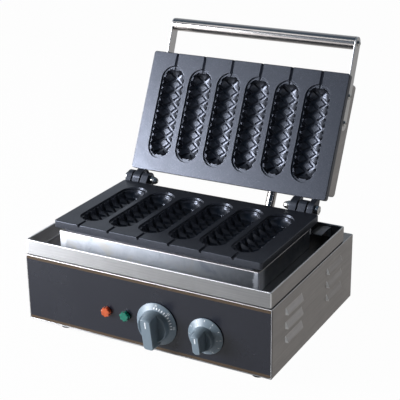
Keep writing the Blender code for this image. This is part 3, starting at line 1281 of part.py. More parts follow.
def make_shaft(name, axis):
    """Round shaft with a flat along the end that the knob sits on."""
    back = PANEL_THICKNESS + KNOB_STANDOFF + SEAT_GAP + SHAFT_IN_BODY
    shaft = piece(name, mesh_of(name, [turned([
        (SHAFT_RADIUS, -back), (SHAFT_RADIUS, SHAFT_IN_KNOB)], SMALL_STEPS)]),
        BRASS, axis, (0, 0, 0), FACING_FRONT, smooth=True)
    reach = SHAFT_RADIUS + OVERRUN
    cut(shaft, name + "_flat", [box((-reach, SHAFT_FLAT, 0), (reach, reach, SHAFT_IN_KNOB + OVERRUN))],
        (0, 0, 0), FACING_FRONT)


def make_switch_body(name, machine, place, size, depth, finish):
    """Body behind the panel: mounting plate, housing and two blade terminals."""
    plate_x = SWITCH_PLATE_WIDTH / 2
    plate_y = SWITCH_PLATE_HEIGHT / 2
    half = size / 2
    corner = size * SWITCH_CORNER_SHARE
    housing_back = -SWITCH_PLATE_THICKNESS - depth
    body = piece(name, mesh_of(name, [([
        level(rounded_rectangle(-half, half, -half, half, corner), housing_back),
        level(rounded_rectangle(-half, half, -half, half, corner), -SWITCH_PLATE_THICKNESS),
        level(rounded_rectangle(-plate_x, plate_x, -plate_y, plate_y, corner), -SWITCH_PLATE_THICKNESS),
        level(rounded_rectangle(-plate_x, plate_x, -plate_y, plate_y, corner), 0)], False)]),
        finish, machine, place, FACING_FRONT)
    blade_width = size * BLADE_WIDTH_SHARE
    blade_length = size * BLADE_LENGTH_SHARE
    join(body, name + "_blades", [box(
        (sign * half / 2 - blade_width / 2, -SHEET / 2, housing_back - blade_length),
        (sign * half / 2 + blade_width / 2, SHEET / 2, housing_back + SHEET)) for sign in (1, -1)],
        place, FACING_FRONT)
    cut(body, name + "_bore", [turned([
        (SHAFT_RADIUS + SHAFT_PLAY, -SHAFT_IN_BODY - SEAT_GAP), (SHAFT_RADIUS + SHAFT_PLAY, OVERRUN)],
        SMALL_STEPS)], place, FACING_FRONT)


def make_controls(machine):
    knob_back_y = FRONT_Y - KNOB_STANDOFF
    body_y = PANEL_BACK_Y + SEAT_GAP
    thermostat_axis = frame_empty("thermostat_axis", (THERMOSTAT_X, knob_back_y, THERMOSTAT_Z), machine)
    timer_axis = frame_empty("timer_axis", (TIMER_X, knob_back_y, TIMER_Z), machine)
    make_knob("thermostat_knob", thermostat_axis, THERMOSTAT_FLANGE_RADIUS, THERMOSTAT_CAP_RADIUS,
              THERMOSTAT_CAP_TOP_RADIUS,
              (THERMOSTAT_GRIP_WIDTH, THERMOSTAT_GRIP_UP, THERMOSTAT_GRIP_DOWN))
    make_knob("timer_knob", timer_axis, TIMER_FLANGE_RADIUS, TIMER_CAP_RADIUS, TIMER_CAP_TOP_RADIUS,
              (TIMER_GRIP_WIDTH, TIMER_GRIP_UP, TIMER_GRIP_DOWN))
    make_shaft("thermostat_shaft", thermostat_axis)
    make_shaft("timer_shaft", timer_axis)
    make_switch_body("thermostat_body", machine, (THERMOSTAT_X, body_y, THERMOSTAT_Z),
                     THERMOSTAT_BODY_SIZE, THERMOSTAT_BODY_DEPTH, WHITE_PLASTIC)
    make_switch_body("timer_body", machine, (TIMER_X, body_y, TIMER_Z),
                     TIMER_BODY_SIZE, TIMER_BODY_DEPTH, BLACK_PLASTIC)
    for label, x, finish in zip(("orange", "green"), LAMP_X, (ORANGE_LENS, GREEN_LENS)):
        make_lamp(label, machine, x, finish)


def make_lamp(label, machine, x, finish):
    place = (x, FRONT_Y, LAMP_Z)
    lens_name = "lamp_lens_" + label
    piece(lens_name, mesh_of(lens_name, [turned([
        (LAMP_RADIUS, SEAT_GAP), (LAMP_RADIUS, LAMP_COLLAR),
        ((LAMP_RADIUS + LAMP_TIP_RADIUS) / 2, LAMP_COLLAR + LAMP_DOME / 2),
        (LAMP_TIP_RADIUS, LAMP_COLLAR + LAMP_DOME)], SMALL_STEPS)]), finish, machine, place, FACING_FRONT)
    body_name = "lamp_body_" + label
    nut_front = -PANEL_THICKNESS - SEAT_GAP
    piece(body_name, mesh_of(body_name, [turned([
        (LAMP_BODY_RADIUS, -LAMP_BODY_LENGTH), (LAMP_BODY_RADIUS, nut_front - LAMP_NUT_HEIGHT),
        (LAMP_NUT_RADIUS, nut_front - LAMP_NUT_HEIGHT), (LAMP_NUT_RADIUS, nut_front),
        (LAMP_BODY_RADIUS, nut_front), (LAMP_BODY_RADIUS, 0)], SMALL_STEPS)]),
        BLACK_PLASTIC, machine, place, FACING_FRONT, smooth=True)


# Wiring pieces

def make_terminal_block(machine):
    bottom = 2 * (SHEET + SEAT_GAP)
    half = TERMINAL_LENGTH / 2
    front = TERMINAL_Y - TERMINAL_WIDTH / 2
    rear = TERMINAL_Y + TERMINAL_WIDTH / 2
    block = piece("terminal_block", mesh_of("terminal_block", [box(
        (-half, front, bottom), (half, rear, bottom + TERMINAL_HEIGHT))]),
        WHITE_PLASTIC, machine)
    pitch = TERMINAL_LENGTH / TERMINAL_SLOTS
    cutters = []
    for index in range(TERMINAL_SLOTS):
        x = (index - (TERMINAL_SLOTS - 1) / 2) * pitch
        cutters.append(box(
            (x - TERMINAL_SLOT / 2, front - OVERRUN, bottom + TERMINAL_HEIGHT - TERMINAL_SLOT_DEPTH),
            (x + TERMINAL_SLOT / 2, rear + OVERRUN, bottom + TERMINAL_HEIGHT + OVERRUN)))
    cut(block, "terminal_slots", cutters)


def make_inlet_gland(machine):
    """Gland for the mains cord in the rear wall, with its nut inside."""
    hex_radius = INLET_ACROSS / math.sqrt(3)
    place = (INLET_X, REAR_Y, INLET_Z)
    hex_end = SEAT_GAP + INLET_HEX_LENGTH
    gland = piece("inlet_gland", mesh_of("inlet_gland", [turned(
        [(hex_radius, SEAT_GAP), (hex_radius, hex_end)], HEX_STEPS)]),
        BLACK_PLASTIC, machine, place, FACING_BACK, smooth=True)
    join(gland, "inlet_gland_neck", [turned([
        (INLET_THREAD_RADIUS, -INLET_THREAD_LENGTH), (INLET_THREAD_RADIUS, hex_end - SEAT_GAP),
        (INLET_DOME_RADIUS, hex_end - SEAT_GAP), (INLET_DOME_RADIUS, hex_end + INLET_DOME_LENGTH / 2),
        (INLET_BORE_RADIUS + SHEET, hex_end + INLET_DOME_LENGTH)])], place, FACING_BACK)
    cut(gland, "inlet_gland_bore", [turned([
        (INLET_BORE_RADIUS, -INLET_THREAD_LENGTH - OVERRUN),
        (INLET_BORE_RADIUS, hex_end + INLET_DOME_LENGTH + OVERRUN)])], place, FACING_BACK)
    nut_top = -SHEET - SEAT_GAP
    piece("inlet_gland_nut", mesh_of("inlet_gland_nut", [
        hex_ring(INLET_ACROSS, INLET_THREAD_RADIUS + SCREW_PLAY, nut_top - INLET_NUT_LENGTH, nut_top)]),
        BLACK_PLASTIC, machine, place, FACING_BACK)


def main():
    for old in list(bpy.data.objects):
        bpy.data.objects.remove(old, do_unlink=True)

    # The part's origin is on the floor, under the middle of the opened machine's bounding box
    rear_reach = (Vector((0, HINGE_Y, 0)) - OPEN_ALONG * COVER_FRONT_Y + OPEN_BACK * COVER_TOP).y
    handle_reach = (Vector((0, HINGE_Y, 0)) - OPEN_ALONG * HANDLE_Y + OPEN_BACK * HANDLE_RISE).y
    rear_reach = max(rear_reach, handle_reach + HANDLE_RADIUS)
    middle_y = (rear_reach - KNOB_FACE_REACH) / 2
    machine = frame_empty("machine", (0, -middle_y, FOOT_HEIGHT))
    lower_side = frame_empty("lower_side", (0, HINGE_Y, HINGE_Z), machine)
    lid = frame_empty("lid_axis", (0, HINGE_Y, HINGE_Z), machine, (-OPEN_ANGLE, 0, 0))
    upper_side = frame_empty("upper_side", (0, 0, 0), lid, (0, math.pi, 0))

    make_base_shell(machine)
    make_front_panel(machine)
    make_bottom_plate(machine)
    make_feet(machine)
    make_tray(machine)
    make_heater_box(machine)
    make_tray_brackets(machine)
    make_lower_plate(lower_side)
    make_upper_plate(upper_side)
    box_wall = SHEET + WOOL_MARGIN
    make_heater_stack("lower", lower_side, LOWER_WOOL_BACK, HEATER_BOX_FRONT_Y - HINGE_Y + box_wall,
                      HEATER_BOX_REAR_Y - HINGE_Y - box_wall, HEATER_BOX_WIDTH / 2 - box_wall,
                      TRAY_BOTTOM_Z - HINGE_Z)
    make_heater_stack("upper", upper_side, UPPER_WOOL_BACK, COVER_FRONT_Y + COVER_EDGE + SEAT_GAP,
                      COVER_REAR_Y - COVER_EDGE - CONDUIT_INSIDE_LID, COVER_WIDTH / 2 - LID_SCREW_LENGTH,
                      -COVER_TOP)
    make_cover(lid)
    make_handle(lid)
    make_hinge_fasteners(lower_side)
    make_conduit(machine, lid)
    make_controls(machine)
    make_terminal_block(machine)
    make_inlet_gland(machine)


main()
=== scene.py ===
"""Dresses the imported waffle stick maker: finer sheet metal, castings and fittings, with their finishes.

Lengths are in metres. Machine: x to the right, y to the back, z up from the underside of the base box.
Casting: y and z from the hinge axis, z out of the moulding face. Lid: the same axis, lid closed.
"""
import itertools
import json
import math

import bmesh
import bpy
from bpy.props import FloatProperty, FloatVectorProperty, PointerProperty
from mathutils import Matrix, Vector
from mathutils.geometry import delaunay_2d_cdt


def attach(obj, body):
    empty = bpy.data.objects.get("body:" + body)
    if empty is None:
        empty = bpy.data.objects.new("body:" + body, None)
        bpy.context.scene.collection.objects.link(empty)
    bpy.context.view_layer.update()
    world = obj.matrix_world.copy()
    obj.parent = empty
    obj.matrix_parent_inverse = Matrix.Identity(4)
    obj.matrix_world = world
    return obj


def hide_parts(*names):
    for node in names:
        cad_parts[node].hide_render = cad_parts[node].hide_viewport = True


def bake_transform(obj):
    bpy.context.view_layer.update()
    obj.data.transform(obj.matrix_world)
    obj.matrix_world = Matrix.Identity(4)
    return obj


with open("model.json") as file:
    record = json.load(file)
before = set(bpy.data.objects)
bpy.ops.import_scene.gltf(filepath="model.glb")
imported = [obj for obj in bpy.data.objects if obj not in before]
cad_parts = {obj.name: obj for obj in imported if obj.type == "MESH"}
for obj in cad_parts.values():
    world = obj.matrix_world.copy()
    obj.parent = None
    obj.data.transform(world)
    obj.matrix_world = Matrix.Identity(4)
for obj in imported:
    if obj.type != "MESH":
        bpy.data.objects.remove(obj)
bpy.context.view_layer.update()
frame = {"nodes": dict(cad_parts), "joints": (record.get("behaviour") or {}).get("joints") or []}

bl_info = {
    "name": "Waffle stick maker",
    "version": (1, 0, 0),
    "blender": (4, 5, 0),
    "location": "3D View > Sidebar > Waffle Maker",
    "description": "Dresses a countertop waffle stick maker and sets its studio",
    "category": "Add Mesh",
}

# The frame gives the hinge's place, and every piece is built in one of these frames. HINGE_Y and
# HINGE_Z place its axis in the machine, and OPEN_ANGLE is how far the lid stands back at rest.
HINGE = Vector(next(joint["pos_m"] for joint in frame["joints"] if joint["name"] == "lid_hinge"))
HINGE_Y = 0.0969
HINGE_Z = 0.1528
OPEN_ANGLE = math.radians(115.87)
MACHINE = Matrix.Translation(HINGE - Vector((0, HINGE_Y, HINGE_Z)))
LOWER = Matrix.Translation(HINGE)
LID = LOWER @ Matrix.Rotation(-OPEN_ANGLE, 4, "X")
UPPER = LID @ Matrix.Rotation(math.pi, 4, "Y")
# Turns that point a piece's z out of a side
OUT_OF_FRONT = Matrix.Rotation(math.radians(90), 4, "X")
OUT_OF_REAR = Matrix.Rotation(math.radians(-90), 4, "X")
OUT_OF_RIGHT = Matrix.Rotation(math.radians(90), 4, "Y")
OUT_OF_LEFT = Matrix.Rotation(math.radians(-90), 4, "Y")

# Sheet thickness, gap between seated pieces, and the distance at which points are one
SHEET = 0.0012
SEAT_GAP = 0.0003
WELD = 0.000001

# Base box. Openings and outlines run left, right, front, rear
WALL_X = 0.200
FRONT_Y = -0.1437
REAR_Y = -FRONT_Y
BASE_HEIGHT = 0.1045
FLOOR_OPENING = (-0.164, 0.164, -0.1077, 0.1077)
DECK_OPENING = (-0.150, 0.150, -0.100, 0.060)
GROMMET_HOLE = 0.0101
SLOT_X = 0.085
SLOT_PITCH = 0.012
SLOT_HALF = 0.002
SLOT_Z = (0.035, 0.081)
INLET = (-0.150, 0.030)
INLET_HOLE = 0.008
FLANGE_INSET = 0.0015
FLANGE_WIDTH = 0.012
FLANGE_BACK_Y = -0.1402
RIM_WIDTH = 0.0017
RIM_PROUD = 0.0039
PANEL_MARGIN = 0.0018
PANEL_Z = (PANEL_MARGIN, BASE_HEIGHT - PANEL_MARGIN)
PANEL_THICKNESS = 0.002
SHAFT_HOLE = 0.005
LAMP_HOLE = 0.0061
STRIPE_WIDTH = 0.0042
LOUVRE_LENGTH = 0.054
LOUVRE_HEIGHT = 0.010
LOUVRE_END = 0.0017
LOUVRE_CORE = LOUVRE_LENGTH / 2 - LOUVRE_END
LOUVRE_PROUD = 0.0046
LOUVRE_Y = (-0.07475, 0.0688)
LOUVRE_Z = (0.0835, 0.0624, 0.0413)
FOOT_HEIGHT = 0.008
FOOT_Y = (("front", -0.126), ("rear", 0.126))
FOOT_X = (("left", -0.145), ("right", 0.172))

# Tray, heater box and brackets
TRAY_X = WALL_X - PANEL_MARGIN
TRAY_FRONT_Y = -0.1435
TRAY_REAR_Y = 0.1112
TRAY_BOTTOM_Z = BASE_HEIGHT + SEAT_GAP
TRAY_TOP_Z = 0.1289
TRAY_FLOOR_Z = TRAY_BOTTOM_Z + SHEET
TRAY_CORNER = 0.0027
TRAY_INNER_CORNER = TRAY_CORNER - SHEET
HEM = 0.00125
BRACKET_X = (0.1600, 0.1770)
BRACKET_LENGTH = 0.0367
BRACKET_RISE = 0.019
HEATER_X = 0.1636
HEATER_FRONT_Y = -0.1079
HEATER_REAR_Y = 0.0637
HEATER_BOTTOM_Z = TRAY_FLOOR_Z + SEAT_GAP
HEATER_TOP_Z = 0.1362

# Mould casting. Outline and trough are stadiums with half a length and a radius. The RIM values shape
# the trough's edge, which every channel pushes out by RIM_BITE
FACE = -SEAT_GAP
PLATE_X = 0.169
PLATE_FRONT = -0.2086
PLATE_REAR = -0.0155
PLATE_BACK = -0.0112
PLATE_CORNER = 0.004
SKIRT = (-0.1555, 0.1555, -0.2014, -0.0347)
BLOCK = (-0.151, 0.151, -0.1949, -0.0412)
BLOCK_Z = (-0.0191, -0.0163)
CAVITY_PITCH = 0.0502
CAVITY_COUNT = 6
CAVITY_X = [(index - (CAVITY_COUNT - 1) / 2) * CAVITY_PITCH for index in range(CAVITY_COUNT)]
CAVITY_Y = (PLATE_FRONT + PLATE_REAR) / 2
OUTLINE_RADIUS = 0.0213
OUTLINE_HALF = 0.0755
LEDGE = 0.0027
LEDGE_WALL = 0.0007
TROUGH_RADIUS = 0.0167
TROUGH_HALF = 0.0695
STUD_DEPTH = 0.0135
# A channel's extra depth, how soon it reaches it inside the rim, and the slope of its sides
CHANNEL_CUT = 0.0030
CHANNEL_START = 0.004
CHANNEL_SLOPE = 1.6
RIM_BITE = 0.0023
RIM_REACH = 0.0024
RIM_DROP = 0.0004
RIM_LIP = 0.0002
# Where the relief has its lines: insets from the outline and from the trough, shares of a channel
LEDGE_INSETS = (0.0002, 0.00035, 0.0005, LEDGE_WALL)
TROUGH_INSETS = (-RIM_REACH, -0.0019, -0.0015, -0.0011, -0.0007, -0.0004, -RIM_LIP, 0.0001, RIM_DROP,
                 0.0009, 0.0018, 0.0034, 0.006, 0.0095, 0.0135)
CHANNEL_LINES = (0.0, 0.375, 0.7, 1.0)
# Half the lattice's diamonds, and where it fades into the smooth bowl
CELL_ACROSS = 0.0120
CELL_ALONG = 0.00965
LATTICE_END = 0.058
BOWL_START = 0.0596
# Stick groove: half width, depth against a half circle's, and its lines in shares of the half width
GROOVE = 0.0024
GROOVE_STRETCH = 1.6
GROOVE_LINES = (-1.0, -0.88, -0.6, -0.22, 0.22, 0.6, 0.88, 1.0)
GROOVE_START = 0.002 - TROUGH_HALF
# Knuckles: outer radius, bore, the stop lug, and their ends from the middle of each hinge
KNUCKLE = 0.012
BORE = 0.0042
STOP_REACH = 0.0152
STOP_SIDES = (0.0104, 0.001)
OUTER_KNUCKLE = (0.0087, 0.0182)
INNER_KNUCKLE = (-0.0087, -0.0207)
SINGLE_KNUCKLE = 0.0065
LEFT_HINGE_X = -0.1495
RIGHT_HINGE_X = 0.139

# Lid, closed pose. Pairs are y and z from the hinge axis
COVER_X = 0.1575
COVER_FRONT = -0.2029
COVER_REAR = -0.0263
COVER_LOW = 0.0115
COVER_TOP = 0.071
COVER_BEND = 0.005
COVER_SCREW_X = 0.060
COVER_SCREW_HOLE = 0.0028
HANDLE_AXIS = (-0.2615, 0.031)
HANDLE_HALF = COVER_X
HANDLE_RADIUS = 0.0102
HANDLE_BORE = 0.0090
STRAP_LOW = (-0.137, 0.0385)
STRAP_HALF_WIDTH = 0.010
STRAP_X = (COVER_X + SEAT_GAP, COVER_X + SEAT_GAP + 0.003)
SCREW_HOLE = 0.0027
SCREW_LENGTH = 0.012
SCREW_OFFSETS = (0.0015, 0.043)
HEXAGON_HEAD = 0.013
SET_SCREW_X = -0.1348
CONDUIT_X = 0.066
CONDUIT_BASE_Y = 0.125
CONDUIT_RISE = 0.040
CONDUIT_RADIUS = 0.0075
CONDUIT_SLACK = 0.0005
CONDUIT_NUT = 0.0235

# Controls: x and z on the front panel
THERMOSTAT = (0.0225, 0.0429)
TIMER = (0.1003, 0.0424)
KNOB_GAP = 0.0006
KNOB_RIM = 0.0148
# Radius of the flange, radius of the cap, and the grip: half width, reach up, reach down, both heights
THERMOSTAT_KNOB = (0.03225, 0.0235, (0.0083, 0.0230, 0.0305, 0.0335, 0.0245))
TIMER_KNOB = (0.02725, 0.0175, (0.0062, 0.0171, 0.0165, 0.0335, 0.0270))
LENS_RADIUS = 0.0074
LAMP_PLACES = (("orange", -0.0605), ("green", -0.0289))
LAMP_Z = 0.0437
# Lines of a seven-line digit, from -1 to 1 across and up, and the lines of each digit
SEVEN_LINES = {
    "a": ((-1, 1), (1, 1)), "b": ((1, 1), (1, 0)), "c": ((1, 0), (1, -1)), "d": ((-1, -1), (1, -1)),
    "e": ((-1, 0), (-1, -1)), "f": ((-1, 1), (-1, 0)), "g": ((-1, 0), (1, 0))}
DIGIT_LINES = {"0": "abcdef", "1": "bc", "2": "abged", "3": "abgcd", "4": "fgbc", "5": "afgcd"}


def linear(code):
    """Linear colour of an sRGB hex value, with full alpha."""
    channels = [int(code[place:place + 2], 16) / 255 for place in (1, 3, 5)]
    return tuple(c / 12.92 if c <= 0.04045 else ((c + 0.055) / 1.055) ** 2.4 for c in channels) + (1.0,)


# Sizes and colours that a user would change

def length(name, description, default):
    return FloatProperty(name=name, description=description, default=default, min=0.0,
                         unit="LENGTH", subtype="DISTANCE", precision=5)


def colour(name, description, code):
    return FloatVectorProperty(name=name, description=description, default=linear(code), size=4,
                               min=0.0, max=1.0, subtype="COLOR")


class WaffleMakerSizes(bpy.types.PropertyGroup):
    bend: length("Sheet bend", "Outer radius of the bends in the folded sheet", 0.0013)
    plate_edge: length("Plate edge", "Radius along the edges of the mould plates", 0.0010)
    channel_half: length("Lattice channel", "Half width of a lattice channel, along the plate", 0.0041)
    knuckle_edge: length("Knuckle edge", "Radius along the edges of the hinge knuckles", 0.0007)
    tube_rib: length("Conduit rib", "Height of the ribs of the flexible conduit", 0.00009)
    tube_pitch: length("Conduit rib pitch", "Distance between the ribs of the flexible conduit", 0.0026)
    mark: length("Printed mark", "Thickness of the printed marks on the knobs", 0.00006)


class WaffleMakerColours(bpy.types.PropertyGroup):
    steel: colour("Brushed steel", "Satin stainless sheet", "#B4B3B2")
    bright: colour("Polished steel", "Polished stainless fittings", "#CCCAC8")
    casting: colour("Mould plates", "Non-stick coat on the castings", "#595C64")
    panel: colour("Front panel", "Gloss printed front panel", "#1B1D26")
    stripe: colour("Panel stripe", "Line along the panel's edges", "#4C3C2B")
    knob: colour("Knobs", "Moulded plastic of the knobs", "#78868F")
    orange: colour("Heating lamp", "Lens of the heating lamp", "#EE6C34")
    green: colour("Power lamp", "Lens of the power lamp", "#078A70")
    floor: colour("Floor", "Studio floor under the white backdrop", "#C2C2C2")


# Outlines in a plane, as lists of points

def rounded_rectangle(left, right, front, rear, radius, steps=6):
    corners = ((left + radius, front + radius, 180), (right - radius, front + radius, 270),
               (right - radius, rear - radius, 0), (left + radius, rear - radius, 90))
    points = []
    for x, y, start in corners:
        for step in range(steps + 1):
            angle = math.radians(start + 90 * step / steps)
            points.append((x + radius * math.cos(angle), y + radius * math.sin(angle)))
    return points


def circle(radius, steps, centre=(0, 0)):
    turns = [2 * math.pi * (step + 0.5) / steps for step in range(steps)]
    return [(centre[0] + radius * math.cos(turn), centre[1] + radius * math.sin(turn)) for turn in turns]


def hexagon(across, steps):
    """Hexagon with points on its sides, in step with a circle of as many points."""
    points = []
    for step in range(steps):
        turn = 2 * math.pi * (step + 0.5) / steps
        reach = across / 2 / math.cos(turn % (math.pi / 3) - math.pi / 6)
        points.append((reach * math.cos(turn), reach * math.sin(turn)))
    return points


def stadium(half, radius):
    """Two half circles joined by straight sides, with the long axis on y."""
    steps = 20
    points = []
    for start, centre in ((0, half - radius), (math.pi, radius - half)):
        for step in range(steps + 1):
            angle = start + math.pi * step / steps
            points.append((radius * math.cos(angle), centre + radius * math.sin(angle)))
    return points


def capsule(first, second, radius, steps):
    """Outline of constant half width around the line from first to second."""
    run = Vector(second) - Vector(first)
    heading = math.atan2(run.y, run.x)
    points = []
    for centre, start in ((first, heading + math.pi / 2), (second, heading - math.pi / 2)):
        for step in range(steps + 1):
            angle = start + math.pi * step / steps
            points.append((centre[0] + radius * math.cos(angle), centre[1] + radius * math.sin(angle)))
    return points


def quarter_steps(count):
    """Sine and cosine of the angles that round an edge, from its flat side to its upright side."""
    angles = [math.pi / 2 * step / count for step in range(count + 1)]
    return [(math.sin(angle), math.cos(angle)) for angle in angles]


def level(points, height):
    return [Vector((x, y, height)) for x, y in points]


def closed_line(loop):
    return loop + loop[:1]


def stadium_inset(x, y, half, radius):
    """How far a point lies inside a stadium's outline."""
    return radius - math.hypot(x, max(abs(y) - half + radius, 0))


def is_inside(point, loop):
    inside = False
    for (ax, ay), (bx, by) in zip(loop, loop[1:] + loop[:1]):
        if (ay > point[1]) != (by > point[1]) and point[0] < ax + (point[1] - ay) / (by - ay) * (bx - ax):
            inside = not inside
    return inside


def divide(outline, lines):
    """Triangles of a closed outline, divided along loops or open lines of points."""
    points = [Vector(point) for point in outline]
    edges = []
    for line in lines:
        start = len(points)
        points += [Vector(point) for point in line]
        edges += [(index, index + 1) for index in range(start, len(points) - 1)]
    found = delaunay_2d_cdt(points, edges, [list(range(len(outline)))], 1, WELD)
    return found[0], found[2]


def middle_of(points, face):
    return sum((points[corner] for corner in face), Vector((0, 0))) / len(face)


# Solids built in bmesh

def add_shell(bm, rings, closed=False):
    """Closed surface through rings of equally many points; a closed one joins its last ring to its first."""
    made = [[bm.verts.new(point) for point in ring] for ring in rings]
    faces = []
    if closed:
        made.append(made[0])
    else:
        faces += [bm.faces.new(reversed(made[0])), bm.faces.new(made[-1])]
    for lower, upper in zip(made, made[1:]):
        for index in range(len(lower)):
            following = (index + 1) % len(lower)
            faces.append(bm.faces.new((lower[index], lower[following], upper[following], upper[index])))
    return faces


def new_shell(rings, closed=False):
    bm = bmesh.new()
    add_shell(bm, rings, closed)
    return bm


def circles(steps, *pairs):
    """Level circles from (radius, height) pairs: the rings of a turned piece about z."""
    return [level(circle(radius, steps), height) for radius, height in pairs]


def hexagons(across, steps, *pairs):
    """Level hexagons from (share of the full size, height) pairs."""
    return [level([(x * share, y * share) for x, y in hexagon(across, steps)], height)
            for share, height in pairs]


def add_plate(bm, outline, holes, low, high, across=False):
    """Flat plate with holes; its plane is x and y, or y and z with its thickness along x."""
    points, faces = divide(outline, [closed_line(hole) for hole in holes])
    kept = [list(face) for face in faces
            if not any(is_inside(middle_of(points, face), hole) for hole in holes)]
    used = {corner for face in kept for corner in face}
    sheets = []
    for height in (low, high):
        places = [(height, p.x, p.y) if across else (p.x, p.y, height) for p in points]
        sheets.append({corner: bm.verts.new(places[corner]) for corner in used})
    directed = set()
    for face in kept:
        bm.faces.new([sheets[0][corner] for corner in reversed(face)])
        bm.faces.new([sheets[1][corner] for corner in face])
        directed |= set(zip(face, closed_line(face)[1:]))
    for a, b in directed:
        if (b, a) not in directed:
            bm.faces.new((sheets[0][a], sheets[0][b], sheets[1][b], sheets[1][a]))


def soften(bm, width, segments=2, above=50):
    """Round every edge that is sharper than the angle."""
    bmesh.ops.recalc_face_normals(bm, faces=bm.faces)
    sharp = [edge for edge in bm.edges
             if len(edge.link_faces) == 2 and edge.calc_face_angle(0) > math.radians(above)]
    bmesh.ops.bevel(bm, geom=sharp, offset=width, offset_type="OFFSET", segments=segments,
                    profile=0.5, affect="EDGES", clamp_overlap=True)


def absorb(bm, other):
    """Move everything from another bmesh into this one."""
    spare = bpy.data.meshes.new("spare")
    other.to_mesh(spare)
    other.free()
    bm.from_mesh(spare)
    bpy.data.meshes.remove(spare)


def make_object(name, bm, finishes):
    """Smooth object in the scene, with its finishes."""
    mesh = bpy.data.meshes.new(name)
    bm.to_mesh(mesh)
    bm.free()
    mesh.shade_smooth()
    for finish in finishes:
        mesh.materials.append(material_of(finish))
    made = bpy.data.objects.new(name, mesh)
    bpy.context.scene.collection.objects.link(made)
    return made


def at(base, place, turn=Matrix.Identity(4)):
    """Place and turn of a piece in one of the frames above."""
    return base @ Matrix.Translation(place) @ turn


def make_piece(name, bm, finishes, body, nodes=(), place=MACHINE, wall=0.0, sharp=38, closed=True):
    """Object in the shared frame, with the body that it rides on and the nodes that it stands for."""
    if closed:
        bmesh.ops.recalc_face_normals(bm, faces=bm.faces)
    bm.transform(place)
    made = make_object(name, bm, finishes)
    made.data.set_sharp_from_angle(angle=math.radians(sharp))
    if wall:
        sheet = made.modifiers.new("sheet", "SOLIDIFY")
        sheet.thickness = wall
        sheet.offset = -1
    shading = made.modifiers.new("shading", "WEIGHTED_NORMAL")
    shading.keep_sharp = True
    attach(made, body)
    if nodes:
        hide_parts(*nodes)


# Finishes

BRUSHED = {"Anisotropic": 0.75, "Anisotropic Rotation": 0.25}
SATIN = {"Anisotropic": 0.85, "Anisotropic Rotation": 0.25}
CLEAR = {"IOR": 1.58, "Transmission Weight": 0.35, "Coat Weight": 0.3, "Coat Roughness": 0.05}
# Most of a noise lies between these values
LOW_NOISE, HIGH_NOISE = 0.3, 0.7


def set_sockets(tree, node, sockets):
    """Give each socket its value, or a link from the output that feeds it; a node gives its first one."""
    for socket, value in sockets.items():
        if isinstance(value, bpy.types.Node):
            value = value.outputs[0]
        if isinstance(value, bpy.types.NodeSocket):
            tree.links.new(value, node.inputs[socket])
        else:
            node.inputs[socket].default_value = value


def add_node(tree, kind, sockets=None, stops=None, **settings):
    """Add a node with its settings and links; a ramp also takes its stops, as positions and colours."""
    node = tree.nodes.new(kind)
    for setting, value in settings.items():
        setattr(node, setting, value)
    if stops:
        elements = node.color_ramp.elements
        elements.remove(elements[-1])
        elements[0].position, elements[0].color = stops[0]
        for position, value in stops[1:]:
            elements.new(position).color = value
    set_sockets(tree, node, sockets or {})
    return node


def grey(value):
    return (value, value, value, 1.0)


def shade(base, factor):
    return tuple(channel * factor for channel in base[:3]) + (1.0,)


def start_material(name, base, roughness, metallic=0.0, sockets=None):
    """New material's tree, its shader and the place on the piece, in metres."""
    material = bpy.data.materials.new(name)
    material.use_nodes = True
    material.diffuse_color = base
    tree = material.node_tree
    shader = tree.nodes["Principled BSDF"]
    set_sockets(tree, shader, {"Base Color": base, "Roughness": roughness, "Metallic": metallic,
                               **(sockets or {})})
    return tree, shader, add_node(tree, "ShaderNodeTexCoord").outputs["Object"]


def brushed_sheet(name, base, grain):
    """AISI 304 sheet, satin brushed: long fine streaks along the grain and faint handling smudges.

    Real brushing lines are 0.05 mm apart. They are drawn 0.6 mm apart, so that they show.
    """
    line, streak, smudge = 0.0006, 0.09, 0.045
    tree, shader, place = start_material(name, base, 0.36, 1.0, BRUSHED)
    drawn_out = add_node(tree, "ShaderNodeMapping", {
        "Vector": place, "Scale": [1 / (streak if axis == grain else line) for axis in range(3)]})
    lines = add_node(tree, "ShaderNodeTexNoise", {
        "Vector": drawn_out, "Scale": 1.0, "Detail": 3.0, "Roughness": 0.65})
    cloud = add_node(tree, "ShaderNodeTexNoise", {
        "Vector": place, "Scale": 1 / smudge, "Detail": 3.0, "Roughness": 0.6})
    streaks = add_node(tree, "ShaderNodeValToRGB", {0: lines}, [
        (0.25, shade(base, 0.82)), (0.5, base), (0.78, shade(base, 1.16))])
    smudges = add_node(tree, "ShaderNodeValToRGB", {0: cloud}, [
        (LOW_NOISE, grey(0.9)), (HIGH_NOISE, grey(1.0))])
    tone = add_node(tree, "ShaderNodeMix", {0: 1.0, 6: streaks, 7: smudges},
                    data_type="RGBA", blend_type="MULTIPLY")
    set_sockets(tree, shader, {
        "Tangent": add_node(tree, "ShaderNodeCombineXYZ", {grain: 1.0}),
        "Base Color": tone.outputs[2],
        "Roughness": add_node(tree, "ShaderNodeMapRange", {
            0: lines, 1: LOW_NOISE, 2: HIGH_NOISE, 3: 0.44, 4: 0.30}),
        "Normal": add_node(tree, "ShaderNodeBump", {
            "Height": lines, "Strength": 0.35, "Distance": 0.00006})})


